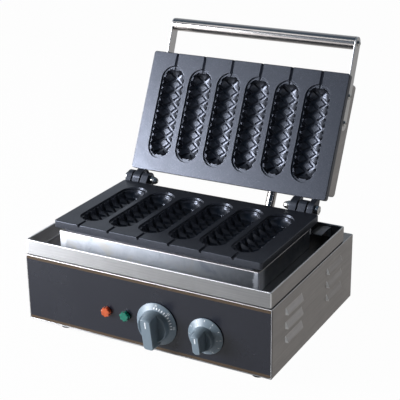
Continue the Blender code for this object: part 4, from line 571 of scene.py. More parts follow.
def heat_marked_sheet(name):
    """AISI 304 sheet that works hot beside the element: straw and blue clouds over a satin surface.

    Both front corners get a painted highlight about 10 mm wide. Painted shade darkens it from the middle to
    the right end, and past x 0.168 m it is painted lighter again.
    """
    base = linear("#CED1D6")
    drift, line, streak = 0.032, 0.0008, 0.05
    tree, shader, place = start_material(name, base, 0.45, 1.0, SATIN)
    cloud = add_node(tree, "ShaderNodeTexNoise", {
        "Vector": place, "Scale": 1 / drift, "Detail": 4.0, "Roughness": 0.55, "Distortion": 0.6})
    tint = add_node(tree, "ShaderNodeValToRGB", {0: cloud}, [
        (0.28, linear("#8C94A0")), (0.42, linear("#BCC0C6")), (0.6, base), (0.75, linear("#D2CFC7"))])
    sides = add_node(tree, "ShaderNodeSeparateXYZ", {0: place}).outputs
    # Painted highlight: bright where x is past a ragged line near either end, and only at the front
    reach = add_node(tree, "ShaderNodeMath", {0: sides["X"]}, operation="ABSOLUTE")
    ragged = add_node(tree, "ShaderNodeMath", {0: cloud, 1: 0.018, 2: reach}, operation="MULTIPLY_ADD")
    painted_highlight_band = add_node(tree, "ShaderNodeMapRange", {0: ragged, 1: 0.1625, 2: 0.1655})
    front = add_node(tree, "ShaderNodeMapRange", {0: sides["Y"], 1: -0.134, 2: -0.124, 3: 1.0, 4: 0.0})
    corner = add_node(tree, "ShaderNodeMath", {0: painted_highlight_band, 1: front}, operation="MULTIPLY")
    # Painted shade: darker from the middle to the right end; past x 0.168 m painted lighter again
    painted_shade_by_x = add_node(tree, "ShaderNodeValToRGB", {0: sides["X"]}, [
        (0.0, grey(1.0)), (0.148, grey(0.42)), (0.1665, grey(0.42)), (0.1680, (1.6, 1.55, 1.5, 1.0))])
    tinted_with_painted_shade = add_node(tree, "ShaderNodeMix", {0: 1.0, 6: tint, 7: painted_shade_by_x},
                      data_type="RGBA", blend_type="MULTIPLY")
    tone = add_node(tree, "ShaderNodeMix", {0: corner, 6: tinted_with_painted_shade.outputs[2], 7: linear("#F2F4F8")},
                    data_type="RGBA")
    drawn_out = add_node(tree, "ShaderNodeMapping", {
        "Vector": place, "Scale": (1 / streak, 1 / streak, 1 / line)})
    lines = add_node(tree, "ShaderNodeTexNoise", {"Vector": drawn_out, "Scale": 1.0, "Detail": 2.0})
    set_sockets(tree, shader, {
        "Tangent": add_node(tree, "ShaderNodeCombineXYZ", {0: 1.0}),
        "Base Color": tone.outputs[2],
        "Roughness": add_node(tree, "ShaderNodeMapRange", {
            0: cloud, 1: LOW_NOISE, 2: HIGH_NOISE, 3: 0.52, 4: 0.42}),
        "Normal": add_node(tree, "ShaderNodeBump", {
            "Height": lines, "Strength": 0.25, "Distance": 0.00005})})


def polished_steel(name, base, roughness=0.13, marks=(0.0012, 0.02, 0.02), spread=0.06):
    """AISI 304 fittings, turned and polished: mirror bright with hair-fine wiping marks."""
    tree, shader, place = start_material(name, base, roughness, 1.0)
    drawn_out = add_node(tree, "ShaderNodeMapping", {
        "Vector": place, "Scale": [1 / mark for mark in marks]})
    wiping = add_node(tree, "ShaderNodeTexNoise", {"Vector": drawn_out, "Scale": 1.0, "Detail": 3.0})
    set_sockets(tree, shader, {
        "Base Color": add_node(tree, "ShaderNodeValToRGB", {0: wiping}, [
            (LOW_NOISE, shade(base, 0.9)), (HIGH_NOISE, shade(base, 1.05))]),
        "Roughness": add_node(tree, "ShaderNodeMapRange", {
            0: wiping, 1: LOW_NOISE, 2: HIGH_NOISE,
            3: roughness - spread / 3, 4: roughness + spread * 2 / 3})})


def coated_casting(name, base):
    """Cast aluminium with a sprayed, baked PTFE coat: satin slate with a fine orange peel and mica.

    Spray grain is 0.2 mm. It is drawn at 1.1 mm, so that it shows.
    """
    grain, patch = 0.0011, 0.028
    tree, shader, place = start_material(name, base, 0.40, 0.8)
    peel = add_node(tree, "ShaderNodeTexNoise", {
        "Vector": place, "Scale": 1 / grain, "Detail": 2.0, "Roughness": 0.6})
    wear = add_node(tree, "ShaderNodeTexNoise", {
        "Vector": place, "Scale": 1 / patch, "Detail": 4.0, "Roughness": 0.6})
    mica = add_node(tree, "ShaderNodeValToRGB", {0: peel}, [
        (0.36, shade(base, 0.76)), (0.60, base), (0.69, shade(base, 1.7))])
    worn = add_node(tree, "ShaderNodeValToRGB", {0: wear}, [(0.35, grey(0.86)), (0.65, grey(1.0))])
    tone = add_node(tree, "ShaderNodeMix", {0: 1.0, 6: mica, 7: worn},
                    data_type="RGBA", blend_type="MULTIPLY")
    set_sockets(tree, shader, {
        "Base Color": tone.outputs[2],
        "Roughness": add_node(tree, "ShaderNodeMapRange", {
            0: wear, 1: LOW_NOISE, 2: HIGH_NOISE, 3: 0.36, 4: 0.30}),
        "Normal": add_node(tree, "ShaderNodeBump", {
            "Height": peel, "Strength": 0.35, "Distance": 0.00007})})


def printed_panel(name, base, stripe):
    """Polycarbonate front sheet, printed from behind: deep gloss charcoal with a line along two edges."""
    speck, wipe = 0.0016, 0.06
    tree, shader, place = start_material(name, base, 0.24, 0.0, {"IOR": 1.58})
    height = add_node(tree, "ShaderNodeSeparateXYZ", {0: place}).outputs["Z"]
    low_line, high_line = (
        add_node(tree, "ShaderNodeMath", {0: height, 1: FOOT_HEIGHT + edge}, operation=operation)
        for operation, edge in (("LESS_THAN", PANEL_Z[0] + STRIPE_WIDTH),
                                ("GREATER_THAN", PANEL_Z[1] - STRIPE_WIDTH)))
    line = add_node(tree, "ShaderNodeMath", {0: low_line, 1: high_line}, operation="MAXIMUM")
    dust = add_node(tree, "ShaderNodeTexNoise", {"Vector": place, "Scale": 1 / speck, "Detail": 2.0})
    ink = add_node(tree, "ShaderNodeValToRGB", {0: dust}, [
        (0.35, shade(base, 0.75)), (0.7, shade(base, 1.4))])
    tone = add_node(tree, "ShaderNodeMix", {0: line, 6: ink, 7: stripe}, data_type="RGBA")
    wiped = add_node(tree, "ShaderNodeTexNoise", {"Vector": place, "Scale": 1 / wipe, "Detail": 3.0})
    set_sockets(tree, shader, {
        "Base Color": tone.outputs[2],
        "Roughness": add_node(tree, "ShaderNodeMapRange", {
            0: wiped, 1: LOW_NOISE, 2: HIGH_NOISE, 3: 0.20, 4: 0.30})})


def moulded_plastic(name, base, roughness, grain=0.0006, depth=0.00005, speckle=0.10):
    """Moulded piece with the spark-eroded grain of its tool, which breaks up the gloss.

    Tool grain is 0.1 to 0.3 mm. It is drawn at the given size, so that it shows.
    """
    tree, shader, place = start_material(name, base, roughness)
    skin = add_node(tree, "ShaderNodeTexNoise", {
        "Vector": place, "Scale": 1 / grain, "Detail": 2.0, "Roughness": 0.6})
    set_sockets(tree, shader, {
        "Base Color": add_node(tree, "ShaderNodeValToRGB", {0: skin}, [
            (LOW_NOISE, shade(base, 1 - speckle)), (HIGH_NOISE, shade(base, 1 + speckle))]),
        "Roughness": add_node(tree, "ShaderNodeMapRange", {
            0: skin, 1: LOW_NOISE, 2: HIGH_NOISE, 3: roughness - 0.05, 4: roughness + 0.07}),
        "Normal": add_node(tree, "ShaderNodeBump", {
            "Height": skin, "Strength": 0.3, "Distance": depth})})


def lamp_lens(name, base):
    """Polycarbonate indicator lens, moulded with facets: clear colour that glows at its thin edges."""
    streak = 0.004
    tree, shader, place = start_material(name, base, 0.10, 0.0, CLEAR)
    flow = add_node(tree, "ShaderNodeTexNoise", {"Vector": place, "Scale": 1 / streak, "Detail": 2.0})
    set_sockets(tree, shader, {
        "Base Color": add_node(tree, "ShaderNodeValToRGB", {0: flow}, [
            (LOW_NOISE, shade(base, 0.7)), (HIGH_NOISE, base)])})


def fibre_blanket(name):
    """Mineral wool, needled: matt straw fibres in loose drifts about 1.5 mm wide."""
    base = linear("#C9BE9E")
    tuft = 0.0015
    tree, shader, place = start_material(name, base, 0.95, 0.0, {"Sheen Weight": 0.2})
    drift = add_node(tree, "ShaderNodeTexNoise", {
        "Vector": place, "Scale": 1 / tuft, "Detail": 6.0, "Distortion": 2.0})
    set_sockets(tree, shader, {
        "Base Color": add_node(tree, "ShaderNodeValToRGB", {0: drift}, [
            (LOW_NOISE, shade(base, 0.6)), (HIGH_NOISE, shade(base, 1.15))]),
        "Normal": add_node(tree, "ShaderNodeBump", {
            "Height": drift, "Strength": 0.8, "Distance": 0.0006})})


def material_of(finish):
    """The material of a finish, made at its first use."""
    tints = bpy.context.scene.waffle_colours
    # Painted light: the sides get a warmer, lighter copy of the steel, and the fronts a copy darkened to 0.9
    painted_warm_side = tuple(c * k for c, k in zip(tints.steel, (1.07, 1.01, 0.97, 1.0)))
    dark = linear("#17181A")
    makers = {
        "brushed_304_along_x": (brushed_sheet, shade(tints.steel, 0.90), 0),
        "brushed_304_along_y": (brushed_sheet, painted_warm_side, 1),
        "heat_marked_304": (heat_marked_sheet,),
        "polished_304": (polished_steel, tuple(tints.bright)),
        "polished_304_tube": (polished_steel, linear("#D2CBC6"), 0.18, (0.40, 0.12, 0.12), 0.004),
        "satin_304_strap": (polished_steel, linear("#F0EEEC"), 0.34),
        # Painted highlight: a whiter, rougher copy of the steel for bends, hems, louvre ends and the tab
        "rubbed_304_edge": (polished_steel, linear("#F8F7F5"), 0.50),
        # Painted light: a lighter copy of the steel for the front hoods and the top edges
        "drawn_304": (polished_steel, linear("#D9D4D1"), 0.44),
        "bright_zinc_plate": (polished_steel, linear("#E2E0DC"), 0.24),
        "blackened_steel": (polished_steel, linear("#3A3A3D"), 0.35),
        "ptfe_coated_aluminium": (coated_casting, tuple(tints.casting)),
        "printed_polycarbonate": (printed_panel, tuple(tints.panel), tuple(tints.stripe)),
        "moulded_abs": (moulded_plastic, tuple(tints.knob), 0.34, 0.0009, 0.00010, 0.16),
        "moulded_nitrile_rubber": (moulded_plastic, dark, 0.75, 0.0008),
        "moulded_black_nylon": (moulded_plastic, dark, 0.5),
        "moulded_white_pbt": (moulded_plastic, linear("#DDD9CF"), 0.45),
        "pad_printed_white": (moulded_plastic, linear("#FBFBFB"), 0.4, 0.0005),
        "orange_polycarbonate": (lamp_lens, tuple(tints.orange)),
        "green_polycarbonate": (lamp_lens, tuple(tints.green)),
        "turned_brass": (polished_steel, linear("#C2A05A"), 0.25),
        "oxidised_heater_sheath": (polished_steel, linear("#4A4C48"), 0.5),
        "needled_mineral_wool": (fibre_blanket,),
    }
    if finish not in bpy.data.materials:
        maker, *settings = makers[finish]
        maker(finish, *settings)
    return bpy.data.materials[finish]


# Folded sheet boxes

def louvre_height(u, v):
    """Height of a pressed louvre's hood at a point measured from the middle of its slit."""
    across = min(max(v / LOUVRE_HEIGHT, 0), 1)
    along = min(max(abs(u) - LOUVRE_CORE, 0) / LOUVRE_END, 1)
    return LOUVRE_PROUD * math.sqrt(1 - along ** 2) * (1 - across)


def louvre_lines(centre):
    """Grid of lines over one hood, in the plane of the wall; the lowest one is its slit."""
    reaches = [sign * (LOUVRE_CORE + LOUVRE_END * share) for sign in (-1, 1) for share in (0, 0.5, 0.85, 1)]
    grid = [[(centre[0] + reach, centre[1] + LOUVRE_HEIGHT * (share - 0.5)) for reach in sorted(reaches)]
            for share in (0, 0.25, 0.5, 0.75, 1)]
    return grid + [list(column) for column in zip(*grid)]


def fill_side(bm, face, axes, holes, louvres):
    """Give a flat side of a folded box its holes and pressed louvres, whose ends get the third finish, a
    painted highlight.
    """
    normal = face.normal.copy()
    corners = list(face.verts)
    base = corners[0].co.copy()
    lines = [closed_line(hole) for hole in holes]
    for louvre in louvres:
        lines += louvre_lines(louvre)
    points, faces = divide([(vert.co[axes[0]], vert.co[axes[1]]) for vert in corners], lines)
    bm.faces.remove(face)
    made = {}
    for triangle in faces:
        middle = middle_of(points, triangle)
        if any(is_inside(middle, hole) for hole in holes):
            continue
        hood = None
        for louvre in louvres:
            v = middle.y - louvre[1] + LOUVRE_HEIGHT / 2
            if v > 0 and louvre_height(middle.x - louvre[0], v) > 0:
                hood = louvre
        verts = []
        for x, y in (points[corner] for corner in triangle):
            place = base.copy()
            place[axes[0]] = x
            place[axes[1]] = y
            if hood:
                place += normal * louvre_height(x - hood[0], max(y - hood[1] + LOUVRE_HEIGHT / 2, 0))
            key = tuple(round(value, 6) for value in place)
            if key not in made:
                near = [vert for vert in corners if (vert.co - place).length < WELD * 5]
                made[key] = near[0] if near else bm.verts.new(place)
            verts.append(made[key])
        filled = bm.faces.new(verts)
        if hood and abs(middle.x - hood[0]) > LOUVRE_CORE:
            filled.material_index = 2
        filled.normal_update()
        if filled.normal.dot(normal) < 0:
            filled.normal_flip()


def folded_box(bm, low, high, bend, open_side, patterns, steps=4):
    """Box of bent sheet with one side left out; patterns give holes and louvres by (axis, sign)."""
    sides = list(itertools.product(range(3), (0, 1)))
    verts = {ends: bm.verts.new([(low, high)[end][axis] for axis, end in enumerate(ends)])
             for ends in itertools.product((0, 1), repeat=3)}
    for axis, sign in sides:
        if (axis, sign) == open_side:
            continue
        ring = []
        for key in ([0, 0], [1, 0], [1, 1], [0, 1]):
            key.insert(axis, sign)
            ring.append(verts[tuple(key)])
        bm.faces.new(ring)
    bmesh.ops.recalc_face_normals(bm, faces=bm.faces)
    bm.normal_update()
    centre = (Vector(low) + Vector(high)) / 2
    for face in bm.faces:
        if face.normal.dot(face.calc_center_median() - centre) < 0:
            face.normal_flip()
    bent = [edge for edge in bm.edges if len(edge.link_faces) == 2]
    bmesh.ops.bevel(bm, geom=bent, offset=bend, offset_type="OFFSET", segments=steps, profile=0.5,
                    affect="EDGES", clamp_overlap=True)
    bm.normal_update()
    for axis, sign in sides:
        holes, louvres = patterns.get((axis, sign), ((), ()))
        if holes or louvres:
            facing = [face for face in bm.faces if face.normal[axis] * (1 if sign else -1) > 0.999]
            side = max(facing, key=lambda face: face.calc_area())
            fill_side(bm, side, [other for other in range(3) if other != axis], holes, louvres)


def box_loop(left, right, front, rear):
    return [(left, front), (right, front), (right, rear), (left, rear)]


class WAFFLE_OT_base_box(bpy.types.Operator):
    """Folded base box with pressed louvres, rear slots and deck opening, and its front flange"""
    bl_idname = "waffle.base_box"
    bl_label = "Base box"

    def execute(self, context):
        louvres = [(y, z) for y in LOUVRE_Y for z in LOUVRE_Z]
        middles = [SLOT_X + SLOT_PITCH * step for step in range(-2, 3)]
        rear = [box_loop(x - SLOT_HALF, x + SLOT_HALF, *SLOT_Z) for x in middles]
        rear.append(circle(INLET_HOLE, 24, INLET))
        deck = [box_loop(*DECK_OPENING), circle(GROMMET_HOLE, 32, (CONDUIT_X, CONDUIT_BASE_Y))]
        bm = bmesh.new()
        folded_box(bm, (-WALL_X, FRONT_Y, 0), (WALL_X, REAR_Y, BASE_HEIGHT),
                   context.scene.waffle_sizes.bend, (1, 0), {
                       (0, 0): ((), louvres), (0, 1): ((), louvres), (1, 1): (rear, ()),
                       (2, 1): (deck, ()), (2, 0): ([box_loop(*FLOOR_OPENING)], ())})
        for face in bm.faces:
            side = abs(face.normal.x)
            if side > 0.8 and not face.material_index:
                # A wall, or a hood: the front column's hoods get the lighter steel, a painted highlight
                is_front_hood = side <= 0.95 and face.calc_center_median().y <= 0
                face.material_index = 3 if is_front_hood else 1
            elif side < 0.8 and max(abs(part) for part in face.normal) < 0.97:
                # A bend, in the lighter steel: a painted highlight
                face.material_index = 2
        make_piece("base_box_sheet", bm, [
            "brushed_304_along_x", "brushed_304_along_y", "rubbed_304_edge", "drawn_304"],
            "base", ["base_shell"], wall=SHEET, sharp=30, closed=False)

        outer = WALL_X - SHEET
        inner = outer - FLANGE_WIDTH
        low = SHEET + FLANGE_WIDTH
        bm = bmesh.new()
        add_plate(bm, box_loop(-outer, outer, FLANGE_INSET, BASE_HEIGHT - FLANGE_INSET),
                  [box_loop(-inner, inner, low, BASE_HEIGHT - low)], 0, SHEET)
        rim = bmesh.new()
        add_plate(rim, box_loop(-WALL_X, WALL_X, 0, BASE_HEIGHT), [box_loop(
            -WALL_X + RIM_WIDTH, WALL_X - RIM_WIDTH, RIM_WIDTH, BASE_HEIGHT - RIM_WIDTH)],
            SHEET, RIM_PROUD)
        soften(rim, 0.0008, 3)
        absorb(bm, rim)
        # Above the panel's top, the frame gets the lighter steel: a painted highlight
        for face in bm.faces:
            face.material_index = int(face.calc_center_median().y > PANEL_Z[1])
        make_piece("base_box_front_flange", bm, ["brushed_304_along_x", "drawn_304"], "base",
                   place=at(MACHINE, (0, FLANGE_BACK_Y, 0), OUT_OF_FRONT))
        return {"FINISHED"}


class WAFFLE_OT_front_panel(bpy.types.Operator):
    """Printed front panel with holes for the shafts and lamps"""
    bl_idname = "waffle.front_panel"
    bl_label = "Front panel"

    def execute(self, context):
        holes = [circle(SHAFT_HOLE, 24, centre) for centre in (THERMOSTAT, TIMER)]
        holes += [circle(LAMP_HOLE, 24, (x, LAMP_Z)) for _, x in LAMP_PLACES]
        bm = bmesh.new()
        add_plate(bm, box_loop(-TRAY_X, TRAY_X, *PANEL_Z), holes, -PANEL_THICKNESS, 0)
        make_piece("printed_front_panel", bm, ["printed_polycarbonate"], "base",
                   ["front_panel"], place=at(MACHINE, (0, FRONT_Y, 0), OUT_OF_FRONT))
        return {"FINISHED"}


class WAFFLE_OT_feet(bpy.types.Operator):
    """Four moulded rubber feet"""
    bl_idname = "waffle.feet"
    bl_label = "Feet"

    def execute(self, context):
        # Recess round the stud's end, tread, flare, flange under the box, stud
        profile = ((0.0050, 0.0006 - FOOT_HEIGHT), (0.0058, -FOOT_HEIGHT), (0.0086, -FOOT_HEIGHT),
                   (0.0092, 0.0004 - FOOT_HEIGHT), (0.0108, -0.0040), (0.0110, -0.0030), (0.0110, -0.0010),
                   (0.0104, -SEAT_GAP), (0.0023, -SEAT_GAP), (0.0023, 0.0055), (0.0018, 0.0060))
        for row, y in FOOT_Y:
            for side, x in FOOT_X:
                make_piece("rubber_foot_" + row + "_" + side, new_shell(circles(32, *profile)),
                           ["moulded_nitrile_rubber"], "base", ["foot_" + row + "_" + side],
                           place=at(MACHINE, (x, y, 0)))
        return {"FINISHED"}


class WAFFLE_OT_tray(bpy.types.Operator):
    """Tray with its rounded hem, and the two angle brackets at its back"""
    bl_idname = "waffle.tray"
    bl_label = "Tray"

    def execute(self, context):
        def ring(inset, corner, height):
            return level(rounded_rectangle(-TRAY_X + inset, TRAY_X - inset, TRAY_FRONT_Y + inset,
                                           TRAY_REAR_Y - inset, corner, 5), height)

        fold = 0.0022
        rings = [ring(fold * (1 - sine), TRAY_CORNER, TRAY_BOTTOM_Z + fold * (1 - cosine))
                 for sine, cosine in quarter_steps(4)]
        for step in range(9):
            angle = math.pi * step / 8
            inset = HEM * (1 - math.cos(angle))
            rings.append(ring(inset, TRAY_CORNER - inset / 2, TRAY_TOP_Z - HEM + HEM * math.sin(angle)))
        rings += [ring(2 * HEM, TRAY_INNER_CORNER, TRAY_TOP_Z - 0.0030),
                  ring(SHEET, TRAY_INNER_CORNER, TRAY_TOP_Z - 0.0033)]
        rings += [ring(SHEET + fold * (1 - sine), TRAY_INNER_CORNER, TRAY_FLOOR_Z + fold * (1 - cosine))
                  for sine, cosine in reversed(quarter_steps(4))]
        bm = new_shell(rings)
        bmesh.ops.recalc_face_normals(bm, faces=bm.faces)
        for face in bm.faces:
            side, front = abs(face.normal.x), abs(face.normal.y)
            if min(side, front) > 0.25 or face.calc_center_median().z > TRAY_TOP_Z - HEM * 0.5:
                # A corner or the hem, in the lighter steel: a painted highlight
                face.material_index = 2
            elif side > 0.7:
                face.material_index = 1
        make_piece("hemmed_tray", bm, ["brushed_304_along_x", "brushed_304_along_y", "rubbed_304_edge"],
                   "base", ["tray"])

        inside, outside = 0.0008, 0.002
        rear = TRAY_REAR_Y - SHEET - SEAT_GAP
        front = rear - BRACKET_LENGTH
        foot = TRAY_FLOOR_Z + 0.0025
        top = TRAY_FLOOR_Z + BRACKET_RISE
        profile = [(front, top - SHEET), (rear - SHEET - inside, top - SHEET),
                   (rear - SHEET, top - SHEET - inside), (rear - SHEET, foot), (rear, foot)]
        profile += [(rear - outside * (1 - sine), top - outside * (1 - cosine))
                    for sine, cosine in reversed(quarter_steps(4))]
        for side, sign in (("right", 1), ("left", -1)):
            bm = bmesh.new()
            add_plate(bm, profile + [(front, top)], [], *sorted(sign * x for x in BRACKET_X), across=True)
            make_piece("angle_bracket_" + side, bm, ["heat_marked_304"], "base",
                       ["tray_bracket_" + side])
        return {"FINISHED"}


class WAFFLE_OT_heater_box(bpy.types.Operator):
    """Heater box with rounded corners and its top lips, and the tab at its rear corner"""
    bl_idname = "waffle.heater_box"
    bl_label = "Heater box"

    def execute(self, context):
        def ring(inset, corner, height, side_inset=None):
            side = inset if side_inset is None else side_inset
            return level(rounded_rectangle(-HEATER_X + side, HEATER_X - side, HEATER_FRONT_Y + inset,
                                           HEATER_REAR_Y - inset, corner, 4), height)

        edge, corner, inner_corner = SHEET, 0.0025, 0.0013
        lip, side_lip, chamfer = 0.008, 0.012, 0.0004
        rings = [ring(chamfer, 0.0022, HEATER_BOTTOM_Z), ring(0, corner, HEATER_BOTTOM_Z + chamfer)]
        rings += [ring(edge * (1 - sine), corner, HEATER_TOP_Z - edge * (1 - cosine))
                  for sine, cosine in reversed(quarter_steps(3))]
        rings += [ring(lip, inner_corner, HEATER_TOP_Z, side_lip),
                  ring(lip, inner_corner, HEATER_TOP_Z - SHEET, side_lip),
                  ring(SHEET, inner_corner, HEATER_TOP_Z - SHEET),
                  ring(SHEET, inner_corner, HEATER_BOTTOM_Z + SHEET)]
        bm = new_shell(rings)
        for face in bm.faces:
            # The rounded top edge and the lips, in the lighter steel: a painted highlight
            face.material_index = int(face.calc_center_median().z > HEATER_TOP_Z - edge)
        make_piece("heater_box_sheet", bm, ["heat_marked_304", "drawn_304"], "base",
                   ["lower_heater_box"])
        bm = bmesh.new()
        tab = box_loop(HEATER_REAR_Y - 0.0050, HEATER_REAR_Y - 0.0010,
                       HEATER_TOP_Z - 0.008, HEATER_TOP_Z + 0.0035)
        add_plate(bm, tab, [], HEATER_X - 0.0002, HEATER_X + SHEET, across=True)
        soften(bm, 0.0003)
        # The tab has a painted highlight: the lighter steel
        make_piece("heater_box_tab", bm, ["rubbed_304_edge"], "base")
        return {"FINISHED"}


# Mould plates with their lattice cavities

def smooth(share):
    share = min(max(share, 0.0), 1.0)
    return share * share * (3 - 2 * share)


def channel_share(x, y, channel_half, bowl_ends):
    """One in the middle of a lattice channel, none on a stud or in a smooth bowl."""
    pitch = 2 * CELL_ALONG
    across = x / (2 * CELL_ACROSS)
    rising = across + y / pitch
    falling = across - y / pitch
    off = min(abs(rising - round(rising)), abs(falling - round(falling))) * pitch
    share = min(1.0, max(0.0, CHANNEL_SLOPE * (1 - off / channel_half)))
    for end in bowl_ends:
        share *= 1 - smooth((end * y - LATTICE_END) / (BOWL_START - LATTICE_END))
    return share


def cavity_depth(x, y, channel_half, bowl_ends):
    """Depth below the moulding face: a ledge, then a round trough whose channels notch its rim."""
    groove = groove_depth(x, y)
    channel = channel_share(x, y, channel_half, bowl_ends)
    inset = stadium_inset(x, y, TROUGH_HALF, TROUGH_RADIUS) + RIM_BITE * channel
    if inset < -RIM_LIP:
        return max(LEDGE * smooth(stadium_inset(x, y, OUTLINE_HALF, OUTLINE_RADIUS) / LEDGE_WALL), groove)
    share = min(max(inset, RIM_DROP) / (TROUGH_RADIUS + RIM_BITE * channel), 1)
    depth = (STUD_DEPTH - LEDGE) * math.sqrt(1 - (1 - share) ** 2)
    depth += CHANNEL_CUT * channel * smooth(inset / CHANNEL_START)
    if inset < RIM_DROP:
        depth *= ((inset + RIM_LIP) / (RIM_DROP + RIM_LIP)) ** 2
    return max(LEDGE + depth, groove)


def groove_depth(x, y):
    """Depth of the round groove for the stick, from the cavity to the plate's front edge."""
    if y > GROOVE_START or abs(x) > GROOVE:
        return 0.0
    return GROOVE_STRETCH * math.sqrt(max(0.0, GROOVE ** 2 - x ** 2))


def groove_end(x):
    """The y where a line along the stick groove meets the cavity's outline."""
    return OUTLINE_RADIUS - OUTLINE_HALF - math.sqrt(OUTLINE_RADIUS ** 2 - x ** 2)


def clip_line(first, second, half_width, half_length):
    """The stretch of a line inside a rectangle about the origin, or None."""
    start, end = 0.0, 1.0
    run = (second[0] - first[0], second[1] - first[1])
    for axis, limit in ((0, half_width), (1, half_length)):
        for sign in (1, -1):
            slope = sign * run[axis]
            room = limit - sign * first[axis]
            if slope > 0:
                end = min(end, room / slope)
            elif slope < 0:
                start = max(start, room / slope)
            elif room < 0:
                return None
    if start >= end:
        return None
    return [(first[0] + share * run[0], first[1] + share * run[1]) for share in (start, end)]


def outline_with_groove():
    """Cavity outline with the points where the stick groove's lines cross it."""
    points = []
    groove = [GROOVE * share for share in GROOVE_LINES]
    for x, y in stadium(OUTLINE_HALF, OUTLINE_RADIUS):
        if y > 0 or abs(x) > GROOVE * 1.2:
            points.append((x, y))
        elif groove:
            points += [(dx, groove_end(dx)) for dx in groove]
            groove = []
    return points


def cavity_patch(channel_half):
    """Plan of one cavity, divided along every line of its relief."""
    insets = [(OUTLINE_HALF, OUTLINE_RADIUS, inset) for inset in LEDGE_INSETS]
    insets += [(TROUGH_HALF, TROUGH_RADIUS, inset) for inset in TROUGH_INSETS]
    lines = [closed_line(stadium(half - inset, radius - inset)) for half, radius, inset in insets]
    rows = int(TROUGH_HALF / CELL_ALONG) + 3
    offsets = [share * channel_half for share in CHANNEL_LINES]
    offsets += [-offset for offset in offsets[1:]]
    reach = TROUGH_RADIUS + RIM_REACH
    rise = reach * CELL_ALONG / CELL_ACROSS
    for row, offset, sign in itertools.product(range(-rows, rows + 1), offsets, (1, -1)):
        middle = 2 * CELL_ALONG * row + offset
        line = clip_line((-reach, middle - sign * rise), (reach, middle + sign * rise),
                         reach, TROUGH_HALF + RIM_REACH)
        if line:
            lines.append(line)
    lines += [[(GROOVE * share, GROOVE_START), (GROOVE * share, -OUTLINE_HALF)] for share in GROOVE_LINES]
    return divide(outline_with_groove(), lines)


def slab_loop(inset):
    """Outline of the slab with the points that the stick grooves need at its front edge."""
    loop = rounded_rectangle(-PLATE_X + inset, PLATE_X - inset, PLATE_FRONT + inset,
                             PLATE_REAR - inset, PLATE_CORNER - inset, 5)
    grooves = [(centre + GROOVE * share, PLATE_FRONT + inset)
               for centre in CAVITY_X for share in GROOVE_LINES]
    return loop[:6] + grooves + loop[6:]


def near_groove(x, y):
    """Depth of the nearest stick groove at a place on the slab."""
    centre = min(CAVITY_X, key=lambda middle: abs(x - middle))
    return groove_depth(x - centre, y - CAVITY_Y)


def knuckle_outline(has_stop):
    """Side view of one knuckle with its web, in y and z from the hinge axis."""
    inside = PLATE_REAR - 0.0035
    points = [(inside, PLATE_BACK + SEAT_GAP)]
    turns = [math.radians(-115 + 250 * step / 40) for step in range(41)]
    stop = [turn for turn in turns if has_stop and 0 < turn < math.radians(82)]
    outward = Vector((-math.cos(OPEN_ANGLE), math.sin(OPEN_ANGLE)))
    sideways = Vector((outward.y, -outward.x))
    for turn in turns:
        if turn not in stop:
            points.append((KNUCKLE * math.cos(turn), KNUCKLE * math.sin(turn)))
        elif turn == stop[0]:
            points += [tuple(outward * STOP_REACH + sideways * side) for side in STOP_SIDES]
    return points + [(PLATE_REAR, FACE - SEAT_GAP), (inside, FACE - SEAT_GAP)]


def pair_spans(centre):
    """An outer and an inner knuckle about one hinge."""
    side = math.copysign(1, centre)
    return [sorted(centre + side * offset for offset in offsets)
            for offsets in (OUTER_KNUCKLE, INNER_KNUCKLE)]


def hinge_spans(pair, single):
    """Knuckles of one plate: two about one hinge and a single one at the other."""
    return pair_spans(pair) + [(single - SINGLE_KNUCKLE, single + SINGLE_KNUCKLE)]


def add_moulding_face(bm, edge, channel_half, bowl_ends):
    """Flat face inside the rounded edge, with the relief of every cavity let into it."""
    points, faces = cavity_patch(channel_half)
    used = sorted({corner for face in faces for corner in face})
    depths = {corner: cavity_depth(*points[corner], channel_half, bowl_ends) for corner in used}
    for centre in CAVITY_X:
        made = {corner: bm.verts.new((centre + points[corner].x, CAVITY_Y + points[corner].y,
                                      FACE - depths[corner])) for corner in used}
        for face in faces:
            bm.faces.new([made[corner] for corner in face])

    outline = outline_with_groove()
    holes = [[(centre + x, CAVITY_Y + y) for x, y in outline] for centre in CAVITY_X]
    lines = []
    for centre, hole in zip(CAVITY_X, holes):
        lines.append(closed_line(hole))
        lines += [[(centre + GROOVE * share, PLATE_FRONT + edge),
                   (centre + GROOVE * share, CAVITY_Y + groove_end(GROOVE * share))]
                  for share in GROOVE_LINES]
    points, faces = divide(slab_loop(edge), lines)
    made = {}
    for face in faces:
        middle = middle_of(points, face)
        if any(stadium_inset(middle.x - centre, middle.y - CAVITY_Y, OUTLINE_HALF, OUTLINE_RADIUS) > 0.0002
               or is_inside(middle, hole) for centre, hole in zip(CAVITY_X, holes)):
            continue
        for corner in face:
            if corner not in made:
                x, y = points[corner]
                made[corner] = bm.verts.new((x, y, FACE - near_groove(x, y)))
        bm.faces.new([made[corner] for corner in face])


